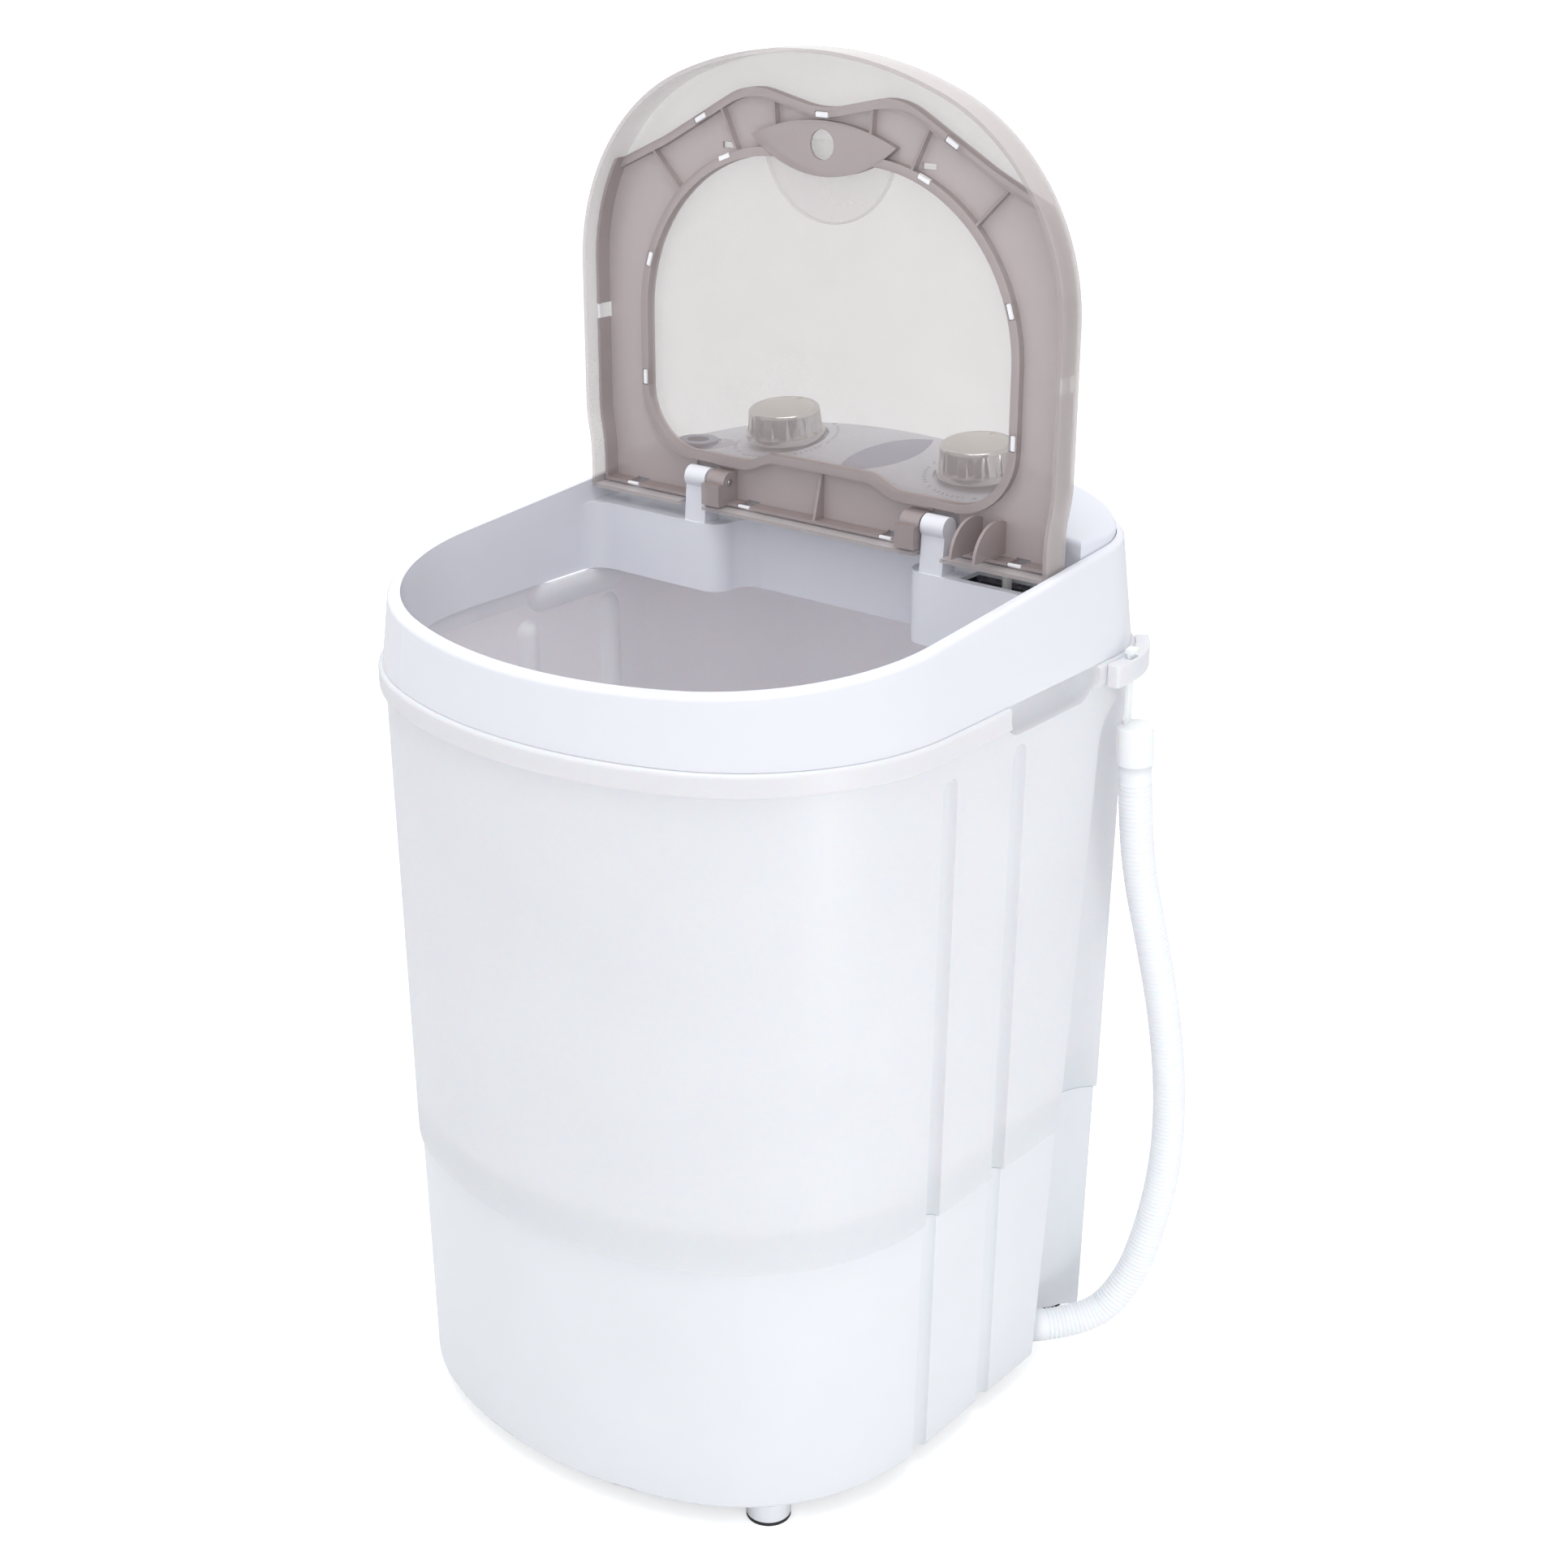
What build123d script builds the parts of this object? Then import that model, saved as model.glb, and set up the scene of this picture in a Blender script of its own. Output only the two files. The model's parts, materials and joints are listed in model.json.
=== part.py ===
from build123d import *
import math
import os

# Portable single tub washing machine, lid open. Millimetres, front toward -Y, up is +Z.
# It is drawn with the wash disc on the Z axis. The saved pieces are moved back by half of
# what the plan is deeper at the rear, so that their origin is below the middle of the plan.

# Plan of the body at the seam between tub and top frame
half_width = 172.0
front_depth = 173.0
rear_depth = 184.0
front_radius = 240.0
cheek_radius = 130.0
rear_radius = 58.0

# Levels
foot_height = 13.0
floor_height = 186.0
floor_rise = 20.0
seam_height = 449.0
rim_front_height = 483.0
rim_rear_height = 513.0
deck_height = 490.0

# How far each level is drawn in from the seam plan
base_foot_inset = 9.0
base_top_inset = 6.5
tub_foot_inset = 4.5
tub_neck_inset = 1.0
frame_draw = 6.8

# Walls, gaps and fits
wall = 2.5
shell_gap = 0.3
running_gap = 0.05
overrun = 6.0

# Tub
collar_height = 13.0
collar_bulge = 2.5
collar_round = 2.4
spigot_inset = 5.0
spigot_height = 12.0
floor_thickness = 3.0

# Flutes down the sides. The front one on the right stands just behind where the side starts to curve.
flute_front_gap = 6.7
flute_middle_y = 35.0
left_flutes = (19.0, 91.0)
flute_radius = 6.5
flute_stand = 0.5
flute_top = 418.0

# Scoops under the frame for the hands, with their ends measured from the rear wall
scoop_front_inset = 150.0
scoop_rear_inset = 92.0
scoop_radius = 14.0
scoop_stand = 2.0
scoop_drop = 5.0

# Drain hose route, chosen by hand, from the outlet to the cap, in one upright plane. Each place is
# measured across from the right wall, back from the rear wall and up from the ground.
hose_places = (
    (-18.8, -82.8, 24.0),
    (6.2, -57.8, 24.0),
    (23.0, -41.0, 50.5),
    (31.4, -32.6, 90.0),
    (36.0, -28.0, 134.0),
    (35.6, -28.4, 180.0),
    (31.2, -32.8, 228.0),
    (24.4, -39.6, 274.0),
    (17.3, -46.7, 316.0),
    (13.7, -50.3, 352.0),
    (12.2, -51.8, 388.0),
)
run_share = 0.45
hose_radius = 9.6
hose_root_radius = 8.9
hose_bore_radius = 7.0
hose_ribs = 150
crest_share = 0.3
cuff_length = 10.0

# Hose cap, strap and bracket
cap_radius = 10.4
cap_length = 22.0
cap_wall = 2.0
strap_width = 6.5
strap_thickness = 1.6
strap_angle = 5.0
bracket_front_inset = 72.0
bracket_end = 42.0
bracket_depth = 8.0
bracket_round = 2.0
bracket_height = 12.0
bracket_slot_half_angle = 4.0

# Channel at the rear right corner that the hose hangs in
channel_foot_radius = 36.5
channel_top_radius = 29.0
channel_top_reach = 12.0
channel_top_inset = 43.0
channel_top_height = 398.0
nut_reach = 6.4
nut_radius = 10.6
nut_thickness = 3.2
nut_seat_length = 12.8
nut_seat_radius = 10.7

# Drain inside the base
drain_run = 40.0
drain_tube_radius = 7.5
drain_tube_wall = 1.5
drain_drop_radius = 10.0
drain_flange_radius = 23.0
drain_flange_thickness = 3.0
grille_radius = 20.0
grille_thickness = 2.0
grille_round = 0.5
grille_hole_radius = 2.0
grille_ring_share = 0.6
grille_holes = 8

# Base
lip_inset = 7.3
lip_height = 11.0
base_edge_round = 3.0
cover_thickness = 2.0
foot_radius = 12.4
foot_front_angle = -44.0
foot_front_reach = 107.0
foot_side_inset = 47.0
foot_rear_inset = 24.0
foot_boss_height = 20.0
foot_stem_radius = 5.0
foot_stem_height = 12.0
pad_thickness = 2.2
pad_stud_radius = 3.0
pad_stud_height = 3.0
vent_length = 60.0
vent_width = 4.0
vent_pitch = 10.0
vent_count = 7
vent_y = 60.0

# Opening of the top frame and its rear cross wall
opening_inset = 11.3
cross_wall_inset = 110.0
recess_inset = 84.0
recess_margin = 10.0
recess_round = 12.0
opening_corner_round = 14.0
rim_round = 2.8
rim_thickness = 3.0
deck_thickness = 2.5

# Hinge
pivot_inset = 103.0
post_share = 0.4419
post_width = 15.0
post_front_reach = 6.4
post_rear_reach = 6.5
post_lean = 2.2
post_head_radius = 6.4
pin_radius = 2.0
pin_reach = 14.5
pin_cover = 2.5
pin_chamfer = 0.4

# Lid, flat in its own frame, with the pivot at the origin and its front toward -Y
lid_side_inset = 9.2
lid_root_inset = 12.5
lid_front_inset = 10.0
lid_root = 16.1
lid_front_radius = 235.0
lid_cheek_radius = 120.0
lid_shoulder_start = 2.0
lid_shoulder_end = 36.0
lid_outer_rise = 11.0
lid_depth = 21.5
lid_wall = 2.2
lid_edge_round = 4.5
lid_close_slack = 0.6
notch_inner_gap = 1.3
notch_outer_gap = 1.4
notch_reach = 8.9
dish_radius = 44.0
dish_depth = 1.1
dish_front_inset = 48.0

# Inner lid frame
sheet_gap = 0.15
sheet_thickness = 1.8
frame_side_gap = 1.2
ridge_width = 5.0
ridge_depth = 4.5
border_depth = 9.5
border_width = 1.8
rib_width = 1.6
rib_depth = 4.2
wave_shares = ((0.0, 0.869), (0.307, 0.914), (0.675, 0.779), (1.132, 0.64))
wave_round_shares = (0.3686, 0.2457, 0.5528)
window_shares = ((0.768, 0.76), (0.768, 0.055), (0.319, 0.055), (0.221, 0.084))
window_round_shares = (0.5835, 0.2089, 0.1228, 0.1228)
clip_length = 9.0
clip_width = 3.4
clip_shares = ((0.0, 0.859), (0.516, 0.8266), (0.4115, 0.7705), (0.7543, 0.4939), (0.7832, 0.2131))
clip_angles = (0.0, 29.0, 0.0, 72.0, 90.0)
border_clip_shares = ((0.307, -0.0484), (0.826, -0.0484), (0.9736, 0.357))
border_clip_angles = (0.0, 0.0, 90.0)
rib_shares = ((0.746, 0.754, 0.606, 0.658), (0.43, 0.8586, 0.3563, 0.7561), (0.2027, 0.889, 0.19, 0.7725))
pocket_half_length = 47.0
pocket_inset = 48.0
pocket_rise = 9.0
pocket_fall = 17.0
pocket_hole_inset = 50.0
pocket_depth = 4.0
pocket_wall = 1.6
pocket_hole_radius = 8.0
ear_reach = 14.0
ear_radius = 6.0
gusset_length = 34.0
gusset_depth = 9.0
fin_left_gap = 7.0
fin_right_gap = 18.0
fin_width = 1.8
fin_top = 8.0
fin_foot = 9.0
fin_depth = 22.5
fin_bend_shares = (0.55, 0.75)

# Console behind the lid
console_front_inset = 81.0
console_gap = 0.4
console_front_crown = 524.5
console_rear_crown = 541.0
console_front_radius = 1500.0
console_rear_radius = 450.0
console_round = 3.0
seat_pitch = 6.3
dial_share = 0.3977
dial_inset = 43.0
dial_height = 530.2
seat_radius = 25.5
seat_depth = 2.0
bushing_radius = 4.6
leaf_start_x = -8.0
leaf_end_x = 20.0
leaf_start_inset = 72.0
leaf_end_inset = 18.0
leaf_half_width = 15.0
leaf_thickness = 1.4
leaf_gap = 0.15
inlet_share = 0.7093
inlet_inset = 60.0
inlet_radius = 8.0
inlet_bore_radius = 6.5
inlet_flange_radius = 12.0
inlet_flange_thickness = 1.6
inlet_height = 524.5
inlet_sink = 2.5
inlet_sink_radius = 14.0

# Knobs, in their own frame on the seat
knob_stand = 1.0
knob_flange_radius = 23.5
knob_flange_height = 3.4
knob_radius = 22.0
knob_top_radius = 20.8
knob_height = 18.5
knob_round = 2.2
knob_flutes = 16
knob_flute_radius = 2.9
knob_flute_stand = 1.6
knob_hollow_radius = 18.5
knob_hollow_height = 11.0
knob_hub_radius = 6.0
cap_disc_radius = 17.8
cap_disc_sink = 1.6
cap_disc_crown = 1.5
nib_radius = 1.3
nib_length = 3.0
timer_side = 42.0
timer_depth = 26.0
timer_drop = 8.0
timer_shoulder_radius = 12.0
timer_corner = 3.0
dial_shaft_radius = 3.0
dial_shaft_top = 14.0
dial_shaft_sink = 10.0
dial_nut_radius = 8.0
dial_nut_height = 2.4

# Lid switch in the deck
slot_left_share = 0.5814
slot_right_share = 0.814
slot_front_inset = 105.0
slot_rear_inset = 86.0
switch_drop = 3.0
switch_height = 20.0
switch_margin = 2.0
plunger_radius = 2.6
plunger_gap = 0.5
plunger_sink = 9.0
spring_radius = 1.7
spring_wire = 0.4
spring_turns = 3

# Splash tray under the controls
tray_inset = 8.2
tray_height = 453.0
tray_thickness = 2.5
tray_boss_radius = 5.0
tray_boss_shares = (-0.5233, 0.7558, -0.6395, 0.6395)
tray_boss_insets = (72.0, 72.0, 24.0, 24.0)

# Wash drive
pulsator_radius = 88.0
pulsator_stand = 5.0
pulsator_thickness = 6.0
pulsator_edge_round = 2.0
vane_count = 6
vane_height = 14.0
vane_width = 9.0
vane_round = 3.6
vane_waist_share = 0.4
vane_reach_share = 0.9
pulsator_hub_radius = 24.0
pulsator_hub_height = 22.0
hub_cap_radius = 15.0
hub_cap_height = 6.0
shaft_radius = 6.0
shaft_foot_drop = 128.0
shaft_top_drop = 4.0
housing_radius = 22.0
housing_flange_radius = 42.0
housing_flange_thickness = 4.0
housing_length = 70.0
housing_neck_radius = 13.0
neck_rise = 1.0
bush_radius = 11.0
bush_length = 16.0
seal_length = 5.0
drive_pulley_radius = 66.0
pulley_height = 12.0
pulley_drop = 120.0
pulley_hub_radius = 14.0
pulley_web = 3.0
pulley_rim = 9.0
pulley_hole_radius = 16.0
pulley_holes = 5
belt_width = 6.0
belt_height = 6.0
belt_gap = 0.3
belt_thickness = 3.6
motor_inset = 70.0
motor_pulley_radius = 13.0
motor_shaft_radius = 5.0
motor_shaft_sink = 20.0
motor_radius = 54.0
motor_stack_height = 34.0
motor_bell_height = 22.0
motor_bell_share = 0.86
bush_height = 13.0
motor_round = 4.0
bracket_thickness = 3.0
mount_reach = 46.0
mount_radius = 7.0
bush_gap_radius = 3.2
capacitor_inset = 60.0
capacitor_y = 62.0
capacitor_radius = 17.0
capacitor_length = 62.0
clip_wall = 2.0
clip_band = 18.0

# Screws
screw_radius = 2.0
screw_head_radius = 3.8
screw_head_height = 2.2
pulsator_screw_head_radius = 6.84
screw_length = 10.0
cover_screw_side_inset = 72.0
cover_screw_front_inset = 43.0
cover_screw_rear_inset = 34.0
cover_screw_left_y = 40.0
cover_screw_right_y = 20.0
cover_boss_radius = 6.0
cover_boss_height = 14.0

# Cord gland in the rear wall of the frame
gland_inset = 76.0
gland_height = 470.0
gland_radius = 6.0
gland_bore_radius = 3.6
gland_flange_radius = 9.5
gland_flange_thickness = 2.4
gland_length = 16.0

# Worked out from the sizes above
cheek_x = half_width - cheek_radius
front_y = front_radius - front_depth
cheek_y = front_y - math.sqrt((front_radius - cheek_radius) ** 2 - cheek_x ** 2)
right_flutes = (cheek_y + flute_front_gap, flute_middle_y)
step_height = floor_height - floor_rise
floor_top = floor_height + floor_thickness
collar_foot = seam_height - collar_height
spigot_top = seam_height + spigot_height
diagonal = math.sqrt(0.5)
hose_route = [(half_width + x, rear_depth + y, z) for x, y, z in hose_places]
outlet = Vector(*hose_route[0])
hose_way = Vector(diagonal, diagonal, 0)
channel_foot_shift = (channel_foot_radius - nut_reach) * diagonal
channel_top_x = half_width + channel_top_reach
channel_top_y = rear_depth - channel_top_inset
drain_x = outlet.X - drain_run * diagonal
drain_y = outlet.Y - drain_run * diagonal
scoop_front = rear_depth - scoop_front_inset
scoop_rear = rear_depth - scoop_rear_inset
bracket_front_y = rear_depth - bracket_front_inset
foot_rear_x = half_width - foot_side_inset
foot_rear_y = rear_depth - foot_rear_inset
cover_screw_x = half_width - cover_screw_side_inset
cover_screw_places = (
    (-cover_screw_x, cover_screw_left_y),
    (cover_screw_x, cover_screw_right_y),
    (0, cover_screw_front_inset - front_depth),
    (0, rear_depth - cover_screw_rear_inset),
)

# Frame, hinge and lid
rim_slope = (rim_rear_height - rim_front_height) / (front_depth + rear_depth)
rim_angle = math.degrees(math.atan(rim_slope))
rim_middle_height = rim_front_height + rim_slope * front_depth
cross_wall_y = rear_depth - cross_wall_inset
recess_y = rear_depth - recess_inset
pivot_y = rear_depth - pivot_inset
post_inner = half_width * post_share
post_outer = post_inner + post_width
post_front_y = pivot_y - post_front_reach
post_rear_y = pivot_y + post_rear_reach
recess_half_width = post_inner - recess_margin
pin_inner = post_inner - pin_reach
lid_half_width = half_width - lid_side_inset
lid_root_half_width = half_width - lid_root_inset
lid_reach = front_depth + pivot_y - lid_front_inset
notch_start = post_inner - notch_inner_gap
notch_end = post_outer + notch_outer_gap
ear_inner = post_inner - ear_reach
pocket_y = lid_reach - pocket_inset
pocket_hole_y = lid_reach - pocket_hole_inset
dish_front = lid_reach - dish_front_inset
lid_skirt_drop = lid_depth - lid_outer_rise
rim_at_pivot = rim_front_height + rim_slope * (pivot_y + front_depth)
pivot_height = rim_at_pivot + (lid_skirt_drop + lid_close_slack) / math.cos(math.atan(rim_slope))

# Console, switch and splash tray
console_front_y = rear_depth - console_front_inset
dial_x = half_width * dial_share
dial_y = rear_depth - dial_inset
leaf_start = (leaf_start_x, rear_depth - leaf_start_inset)
leaf_end = (leaf_end_x, rear_depth - leaf_end_inset)
inlet_x = -half_width * inlet_share
inlet_y = rear_depth - inlet_inset
slot_left = half_width * slot_left_share
slot_right = half_width * slot_right_share
slot_front = rear_depth - slot_front_inset
slot_rear = rear_depth - slot_rear_inset
fin_places = (slot_left + fin_left_gap, slot_right - fin_right_gap)
tray_boss_places = [(half_width * x, rear_depth - y) for x, y in zip(tray_boss_shares, tray_boss_insets)]
gland_x = gland_inset - half_width

# Drive
motor_y = rear_depth - motor_inset
motor_height = 2 * motor_bell_height + motor_stack_height
motor_top = floor_height - bush_height - bracket_thickness
motor_foot = motor_top - motor_height
pulley_foot = floor_height - pulley_drop
shaft_foot = floor_height - shaft_foot_drop
capacitor_x = capacitor_inset - half_width
pulsator_foot = floor_top + pulsator_stand
shaft_top = pulsator_foot + pulsator_hub_height - shaft_top_drop


def polar(centre, radius, angle):
    """A point on a circle, with the angle in radians."""
    return (centre[0] + radius * math.cos(angle), centre[1] + radius * math.sin(angle))


def arc(centre, radius, start, end):
    """A plain arc through its ends and its middle."""
    middle = (start + end) / 2
    return ThreePointArc(*[polar(centre, radius, angle) for angle in (start, middle, end)])


def block(x0, x1, y0, y1, z0, z1):
    """A box between two corners."""
    centre = Pos((x0 + x1) / 2, (y0 + y1) / 2, (z0 + z1) / 2)
    return centre * Box(x1 - x0, y1 - y0, z1 - z0)


def rod(start, end, radius, end_radius=None):
    """A round bar or cone between two points."""
    start, end = Vector(*start), Vector(*end)
    place = Plane(origin=start, z_dir=end - start)
    length = (end - start).length
    seat = (Align.CENTER, Align.CENTER, Align.MIN)
    if end_radius is None:
        return place * Cylinder(radius, length, align=seat)
    return place * Cone(radius, end_radius, length, align=seat)


def post(x, y, z0, z1, radius):
    """An upright round bar."""
    return rod((x, y, z0), (x, y, z1), radius)


def ring(x, y, z0, z1, radius, bore):
    """An upright ring."""
    return post(x, y, z0, z1, radius) - post(x, y, z0 - overrun, z1 + overrun, bore)


def slab(face, z0, z1):
    """A face in the XY plane given thickness from one level to another."""
    return extrude(Pos(0, 0, z0) * face, amount=z1 - z0, dir=(0, 0, 1))


def skin(low_inset, z0, high_inset, z1):
    """A solid of the body plan whose sides lean evenly from one inset to another."""
    lean = math.degrees(math.atan((high_inset - low_inset) / (z1 - z0)))
    return extrude(Pos(0, 0, z0) * body_plan(low_inset), amount=z1 - z0, dir=(0, 0, 1), taper=lean)


def both_sides(shape):
    """A shape and its mirror image across the middle plane."""
    return shape + mirror(shape, about=Plane.YZ)


def body_plan(inset):
    """The D shaped plan of the body, drawn in evenly from the seam line."""
    half = half_width - inset
    rear = rear_depth - inset
    corner = rear_radius - inset
    corner_x = half_width - rear_radius
    corner_y = rear_depth - rear_radius
    turn = math.atan2(cheek_y - front_y, cheek_x)
    cheek = cheek_radius - inset
    edges = [
        Line((half, cheek_y), (half, corner_y)),
        arc((corner_x, corner_y), corner, 0, math.pi / 2),
        Line((corner_x, rear), (-corner_x, rear)),
        arc((-corner_x, corner_y), corner, math.pi / 2, math.pi),
        Line((-half, corner_y), (-half, cheek_y)),
        arc((-cheek_x, cheek_y), cheek, math.pi, math.pi - turn),
        arc((0, front_y), front_radius - inset, math.pi - turn, 2 * math.pi + turn),
        arc((cheek_x, cheek_y), cheek, 2 * math.pi + turn, 2 * math.pi),
    ]
    return Face(Wire(edges))


def tub_inset(height):
    """How far the outside of the tub is drawn in at a level."""
    share = (height - step_height) / (collar_foot - step_height)
    return tub_foot_inset + share * (tub_neck_inset - tub_foot_inset)


def flute(side, y, grow):
    """One groove down a side of tub and base, or its wall when grown."""
    foot_x = half_width - base_foot_inset + flute_stand
    top_x = half_width - tub_neck_inset + flute_stand
    foot = (side * foot_x, y, foot_height - overrun)
    top = (side * top_x, y, flute_top)
    radius = flute_radius + grow
    return rod(foot, top, radius) + Pos(*top) * Sphere(radius)


def channel(grow):
    """The hollow at the rear right corner, or its wall when grown."""
    foot = (outlet.X + channel_foot_shift, outlet.Y + channel_foot_shift, foot_height - overrun)
    top = (channel_top_x, channel_top_y, channel_top_height)
    low, high = channel_foot_radius + grow, channel_top_radius + grow
    return rod(foot, top, low, high) + Pos(*top) * Sphere(high)


def scoop(grow):
    """One hand scoop on the right, or its wall when grown."""
    x = half_width + scoop_stand
    z = seam_height - scoop_drop
    radius = scoop_radius + grow
    ends = [(x, scoop_front, z), (x, scoop_rear, z)]
    return rod(ends[0], ends[1], radius) + Pos(*ends[0]) * Sphere(radius) + Pos(*ends[1]) * Sphere(radius)


def side_hollows(grow):
    """All grooves that run down both tub and base."""
    hollows = [flute(1, y, grow) for y in right_flutes]
    hollows += [flute(-1, y, grow) for y in left_flutes]
    return hollows + [channel(grow)]


def hand_scoops(grow):
    """Both hand scoops, kept below the frame where they are walls."""
    scoops = both_sides(scoop(grow))
    if grow == 0:
        return scoops
    reach = half_width + front_depth
    return scoops - block(-reach, reach, -reach, reach, seam_height - shell_gap, seam_height + reach)


def take_away(shape, cutters):
    """Cuts a list of shapes from one shape."""
    for cutter in cutters:
        shape = shape - cutter
    return shape


def tub():
    """The milky washing tub with its collar, floor, flutes, scoops and lower skirt."""
    outer = skin(tub_foot_inset, step_height, tub_neck_inset, collar_foot)
    collar = slab(body_plan(-collar_bulge), collar_foot, seam_height)
    collar = fillet(collar.edges().filter_by(Axis.Z, reverse=True), collar_round)
    spigot = slab(body_plan(spigot_inset), seam_height - wall, spigot_top)
    outer = take_away(outer + collar + spigot, side_hollows(0) + [hand_scoops(0)])
    neck = tub_neck_inset + wall
    mouth = body_plan(spigot_inset + wall)
    grown = side_hollows(wall) + [hand_scoops(wall)]
    well = skin(tub_inset(floor_top) + wall, floor_top, neck, collar_foot)
    throat = skin(neck, collar_foot, spigot_inset + wall, seam_height)
    under = slab(body_plan(tub_foot_inset + wall), step_height - overrun, floor_height)
    shell = outer - take_away(well, grown)
    shell = shell - take_away(throat, grown)
    shell = shell - slab(mouth, seam_height, spigot_top + overrun)
    shell = shell - take_away(under, grown)
    shell = shell - post(0, 0, floor_height - overrun, floor_top + overrun, housing_neck_radius + shell_gap)
    grille_hole = grille_radius - wall
    return shell - post(drain_x, drain_y, floor_height - overrun, floor_top + overrun, grille_hole)


def foot_places():
    """Centres of the four feet, the front ones just inside the round of the cheeks."""
    front = polar((cheek_x, cheek_y), foot_front_reach, math.radians(foot_front_angle))
    return [(side * x, y) for side in (1, -1) for x, y in (front, (foot_rear_x, foot_rear_y))]


def base_housing():
    """The skirt below the tub, with the lip inside the tub and bosses for feet and screws."""
    outer = skin(base_foot_inset, foot_height, base_top_inset, step_height - shell_gap)
    outer = fillet(outer.faces().sort_by(Axis.Z)[0].edges(), base_edge_round)
    outer = take_away(outer, side_hollows(0))
    low = base_foot_inset + wall
    high = base_top_inset + wall
    room = slab(body_plan(low), foot_height - overrun, foot_height + base_edge_round)
    room = room + skin(low, foot_height, high, step_height)
    shell = outer - take_away(room, side_hollows(wall))
    lip = slab(body_plan(lip_inset), step_height - wall, step_height + lip_height)
    lip = lip - slab(body_plan(high + running_gap), step_height - overrun, step_height + lip_height + overrun)
    shell = shell + take_away(lip, side_hollows(wall + shell_gap))
    for x, y in foot_places():
        boss = post(x, y, foot_height, foot_height + foot_boss_height, foot_radius)
        stem_top = foot_height + foot_stem_height
        bore = post(x, y, foot_height - overrun, stem_top, foot_stem_radius + running_gap)
        shell = shell + (boss & outer) - bore
    seat = foot_height + cover_thickness
    top = seat + cover_boss_height
    for x, y in cover_screw_places:
        boss = post(x, y, seat, top, cover_boss_radius)
        arm = boss_arm(x, y, top)
        bore = post(x, y, foot_height, seat + screw_length, screw_radius + running_gap)
        shell = shell + boss + arm - bore
    start = outlet - hose_way * nut_seat_length
    collar = rod(start, outlet - hose_way * nut_thickness, nut_seat_radius)
    way = rod(start - hose_way * overrun, outlet + hose_way * overrun, drain_tube_radius + shell_gap)
    return shell + collar - way


def boss_arm(x, y, top):
    """A rib from a screw boss of the base to its nearest outer wall."""
    half = wall / 2
    foot = top - cover_boss_height + wall
    inner = base_foot_inset + half
    if abs(x) > abs(y):
        end = math.copysign(half_width - inner, x)
        return block(min(x, end), max(x, end), y - half, y + half, foot, top)
    end = rear_depth - inner if y > 0 else inner - front_depth
    return block(x - half, x + half, min(y, end), max(y, end), foot, top)


def bottom_cover():
    """The plate that closes the base, with vents below the motor."""
    plan = body_plan(base_foot_inset + wall + shell_gap)
    plate = slab(plan, foot_height, foot_height + cover_thickness)
    plate = take_away(plate, side_hollows(wall + shell_gap))
    low, high = foot_height - overrun, foot_height + cover_thickness + overrun
    start = outlet - hose_way * nut_seat_length
    plate = plate - rod(start - hose_way * wall, outlet, nut_seat_radius + shell_gap)
    for x, y in foot_places():
        plate = plate - post(x, y, low, high, foot_radius + shell_gap)
    for x, y in cover_screw_places:
        plate = plate - post(x, y, low, high, screw_radius + running_gap)
    first = vent_y - (vent_pitch * (vent_count - 1) + vent_width) / 2
    for index in range(vent_count):
        y = first + index * vent_pitch
        plate = plate - block(-vent_length / 2, vent_length / 2, y, y + vent_width, low, high)
    return plate


def feet():
    """Four white feet with stems in the bosses of the base."""
    shapes = []
    for x, y in foot_places():
        cup = post(x, y, pad_thickness, foot_height, foot_radius)
        stem = post(x, y, foot_height, foot_height + foot_stem_height - shell_gap, foot_stem_radius)
        stud = post(x, y, 0, pad_thickness + pad_stud_height + running_gap, pad_stud_radius + running_gap)
        shapes.append(cup + stem - stud)
    return Compound(children=shapes)


def foot_pads():
    """Rubber pads under the feet, each with a stud."""
    shapes = []
    for x, y in foot_places():
        stud = post(x, y, pad_thickness, pad_thickness + pad_stud_height, pad_stud_radius)
        shapes.append(post(x, y, 0, pad_thickness, foot_radius) + stud)
    return Compound(children=shapes)


def opening_plan(grow):
    """The mouth of the frame, with its rear edge stepped back between the hinge posts."""
    side = half_width * 2
    mouth = body_plan(opening_inset - grow)
    front = mouth - Pos(0, side / 2 + cross_wall_y + grow) * Rectangle(side, side)
    half = recess_half_width + grow
    mouth_half = half_width - opening_inset - wall
    back = Pos(0, (recess_y + grow) / 2) * Rectangle(half * 2, recess_y + grow)
    plan = front + back
    steps = [v for v in plan.vertices() if abs(abs(v.X) - half) < wall and v.Y > cross_wall_y - wall]
    plan = fillet(steps, recess_round)
    ends = [v for v in plan.vertices() if abs(v.X) > mouth_half and v.Y > cross_wall_y - wall]
    return fillet(ends, opening_corner_round).face()


def above_rim(drop):
    """Everything above the sloping plane of the rim, lowered by a drop."""
    side = 2 * (front_depth + rear_depth)
    place = Location((0, 0, rim_middle_height - drop), (rim_angle, 0, 0))
    return place * Box(side, side, side, align=(Align.CENTER, Align.CENTER, Align.MIN))


def frame_block(inset, drop):
    """The frame's leaning sides up to the rim, drawn in evenly and lowered."""
    foot = seam_height + shell_gap
    rise = rim_rear_height + overrun - foot
    block_face = Pos(0, 0, foot) * body_plan(inset)
    return extrude(block_face, amount=rise, dir=(0, 0, 1), taper=frame_draw) - above_rim(drop)


def console_bay(inset, z0):
    """The space inside the rim, above a level."""
    return slab(body_plan(inset), z0, rim_rear_height + overrun)


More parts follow.
